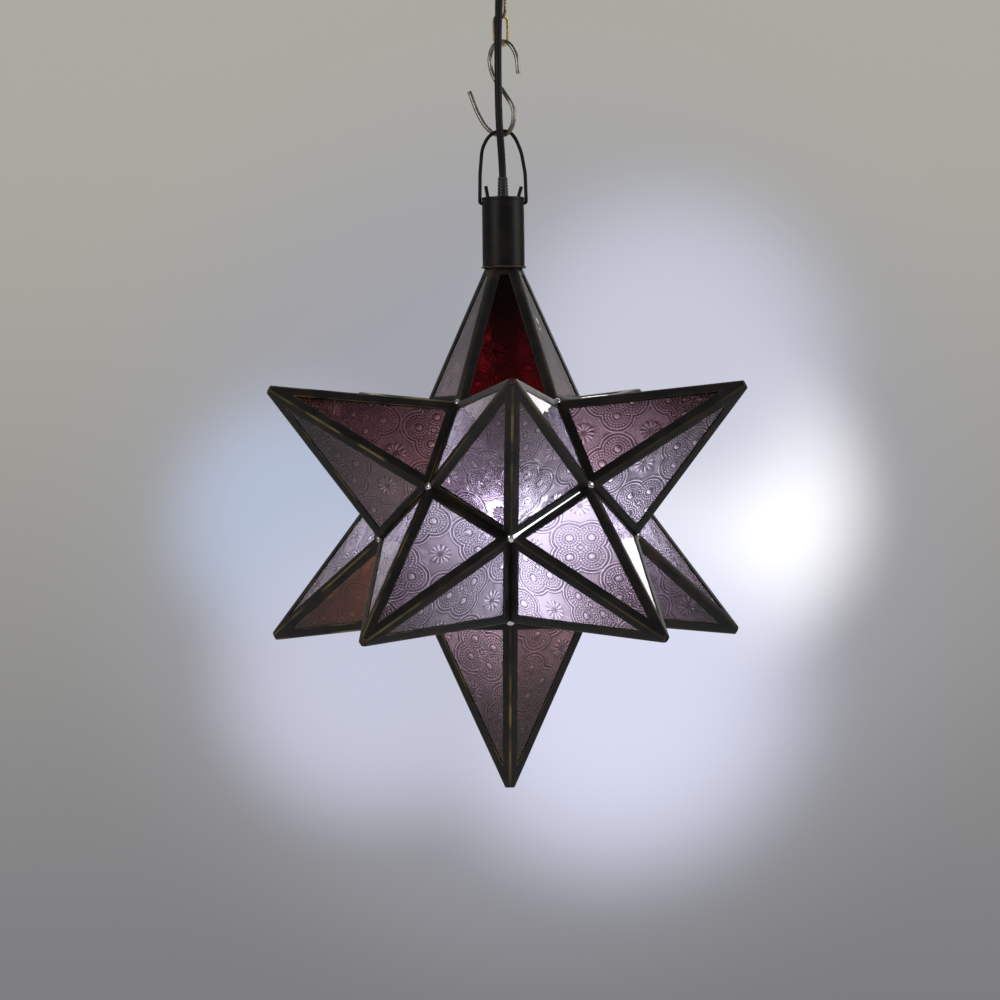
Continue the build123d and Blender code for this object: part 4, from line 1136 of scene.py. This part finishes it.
def pool(x, y, reach):
    """A pool of light on the wall: 1 at that pixel of the photograph, 0 at reach pixels from it."""
    toward = facing @ Vector((x - 500, 500 - y, -FOCAL_PIXELS)).normalized()
    near = room.node("VectorMath", {"operation": "DOT_PRODUCT"}, {0: direction, 1: tuple(toward)}, output=1)
    return near.ramp(math.cos(reach / FOCAL_PIXELS), 1.0) ** 2


def cone(inner, outer):
    """1 within the inner angle of the camera's sight at rest, 0 outside the outer one."""
    return ahead.ramp(math.cos(math.radians(outer)), math.cos(math.radians(inner)))


# painted shade: the wall is painted darker towards the bottom and lighter towards the top
shown = height.ramp(-0.13, 0.10).mix(WALL_LOW, WALL_HIGH)
for x, y, reach, colour in POOLS:
    shown = pool(x, y, reach).mix(shown, colour)
ahead = room.node("VectorMath", {"operation": "DOT_PRODUCT"}, {0: direction, 1: tuple(sight)}, output=1)
patches = room.node("TexNoise", {}, {"Vector": direction, "Scale": 3.5, "Detail": 1.0})
around = patches.ramp(0.47, 0.65).mix((0.04, 0.036, 0.04), (0.46, 0.46, 0.49))
through = cone(7, 38).mix(around, shown)
shown = cone(9, 24).mix(PLAIN_WALL, shown)
from_camera, glossy, transmitted = (room.node("LightPath", output=i) for i in (0, 3, 6))
seen = (from_camera + glossy + transmitted).math("MINIMUM", 1.0)
shown = from_camera.mix(through, shown)
lit = room.node("Background", {}, {"Color": (0.80, 0.82, 0.88), "Strength": 0.5})
backdrop = room.node("Background", {}, {"Color": shown, "Strength": 1.0})
mixed = room.node("MixShader", {}, {0: seen, 1: lit, 2: backdrop})
out = world.node_tree.nodes.new("ShaderNodeOutputWorld")
world.node_tree.links.new(mixed.socket, out.inputs["Surface"])
print("backdrop:", len(POOLS), "pools of light")

# %% [markdown]
# A plain pale floor lies far below, and three large soft lamps light the lantern evenly, as in a
# studio. The frosted lamp inside is only a surface that glows, so three small hidden lights beside
# it help it to light the panes. They ride on the star, so the glow swings with it.

# %% Floor and lights
FLOOR_Z = -1.9
deselect()
bpy.ops.mesh.primitive_circle_add(vertices=64, radius=4, fill_type="NGON", location=(0, 0, FLOOR_Z))
floor = bpy.context.object
floor.name = "floor"
floor.data.materials.append(plain("pale floor", (0.86, 0.86, 0.86), 0.0, 0.8, (0.84, 0.84, 0.84), depth=0))



def light_at(name, kind, place, power):
    """A light of that kind at its place, in watts."""
    light = bpy.data.lights.new(name, kind)
    light.energy = power
    lamp = bpy.data.objects.new(name, light)
    bpy.context.collection.objects.link(lamp)
    lamp.location = place
    return lamp


for name, place, size, power in (
        ("window left", (-2.2, -2.0, 0.6), 1.6, 24), ("window right", (2.4, -0.6, 0.3), 1.4, 20),
        ("bounce behind", (0.3, 2.4, 0.5), 1.8, 16)):
    lamp = light_at(name, "AREA", place, power)
    lamp.data.size = size
    lamp.rotation_euler = (Vector((0, 0, -0.4)) - Vector(place)).to_track_quat("-Z", "Y").to_euler()

for place, power in (((44, -38, -26), 0.95), ((-28, -26, 0), 0.26), ((4, 36, -14), 0.22)):
    lamp = light_at("glow inside", "POINT", star_middle + Vector(place) * MM, power)
    lamp.data.color, lamp.data.shadow_soft_size = (0.90, 0.92, 1.0), 6 * MM
    lamp.visible_camera = lamp.visible_glossy = lamp.visible_transmission = False
    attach(lamp, "star")

# %% [markdown]
# Last comes the view transform, which shows colours as they are written.

# %% View transform
bpy.context.scene.view_settings.view_transform = "Standard"
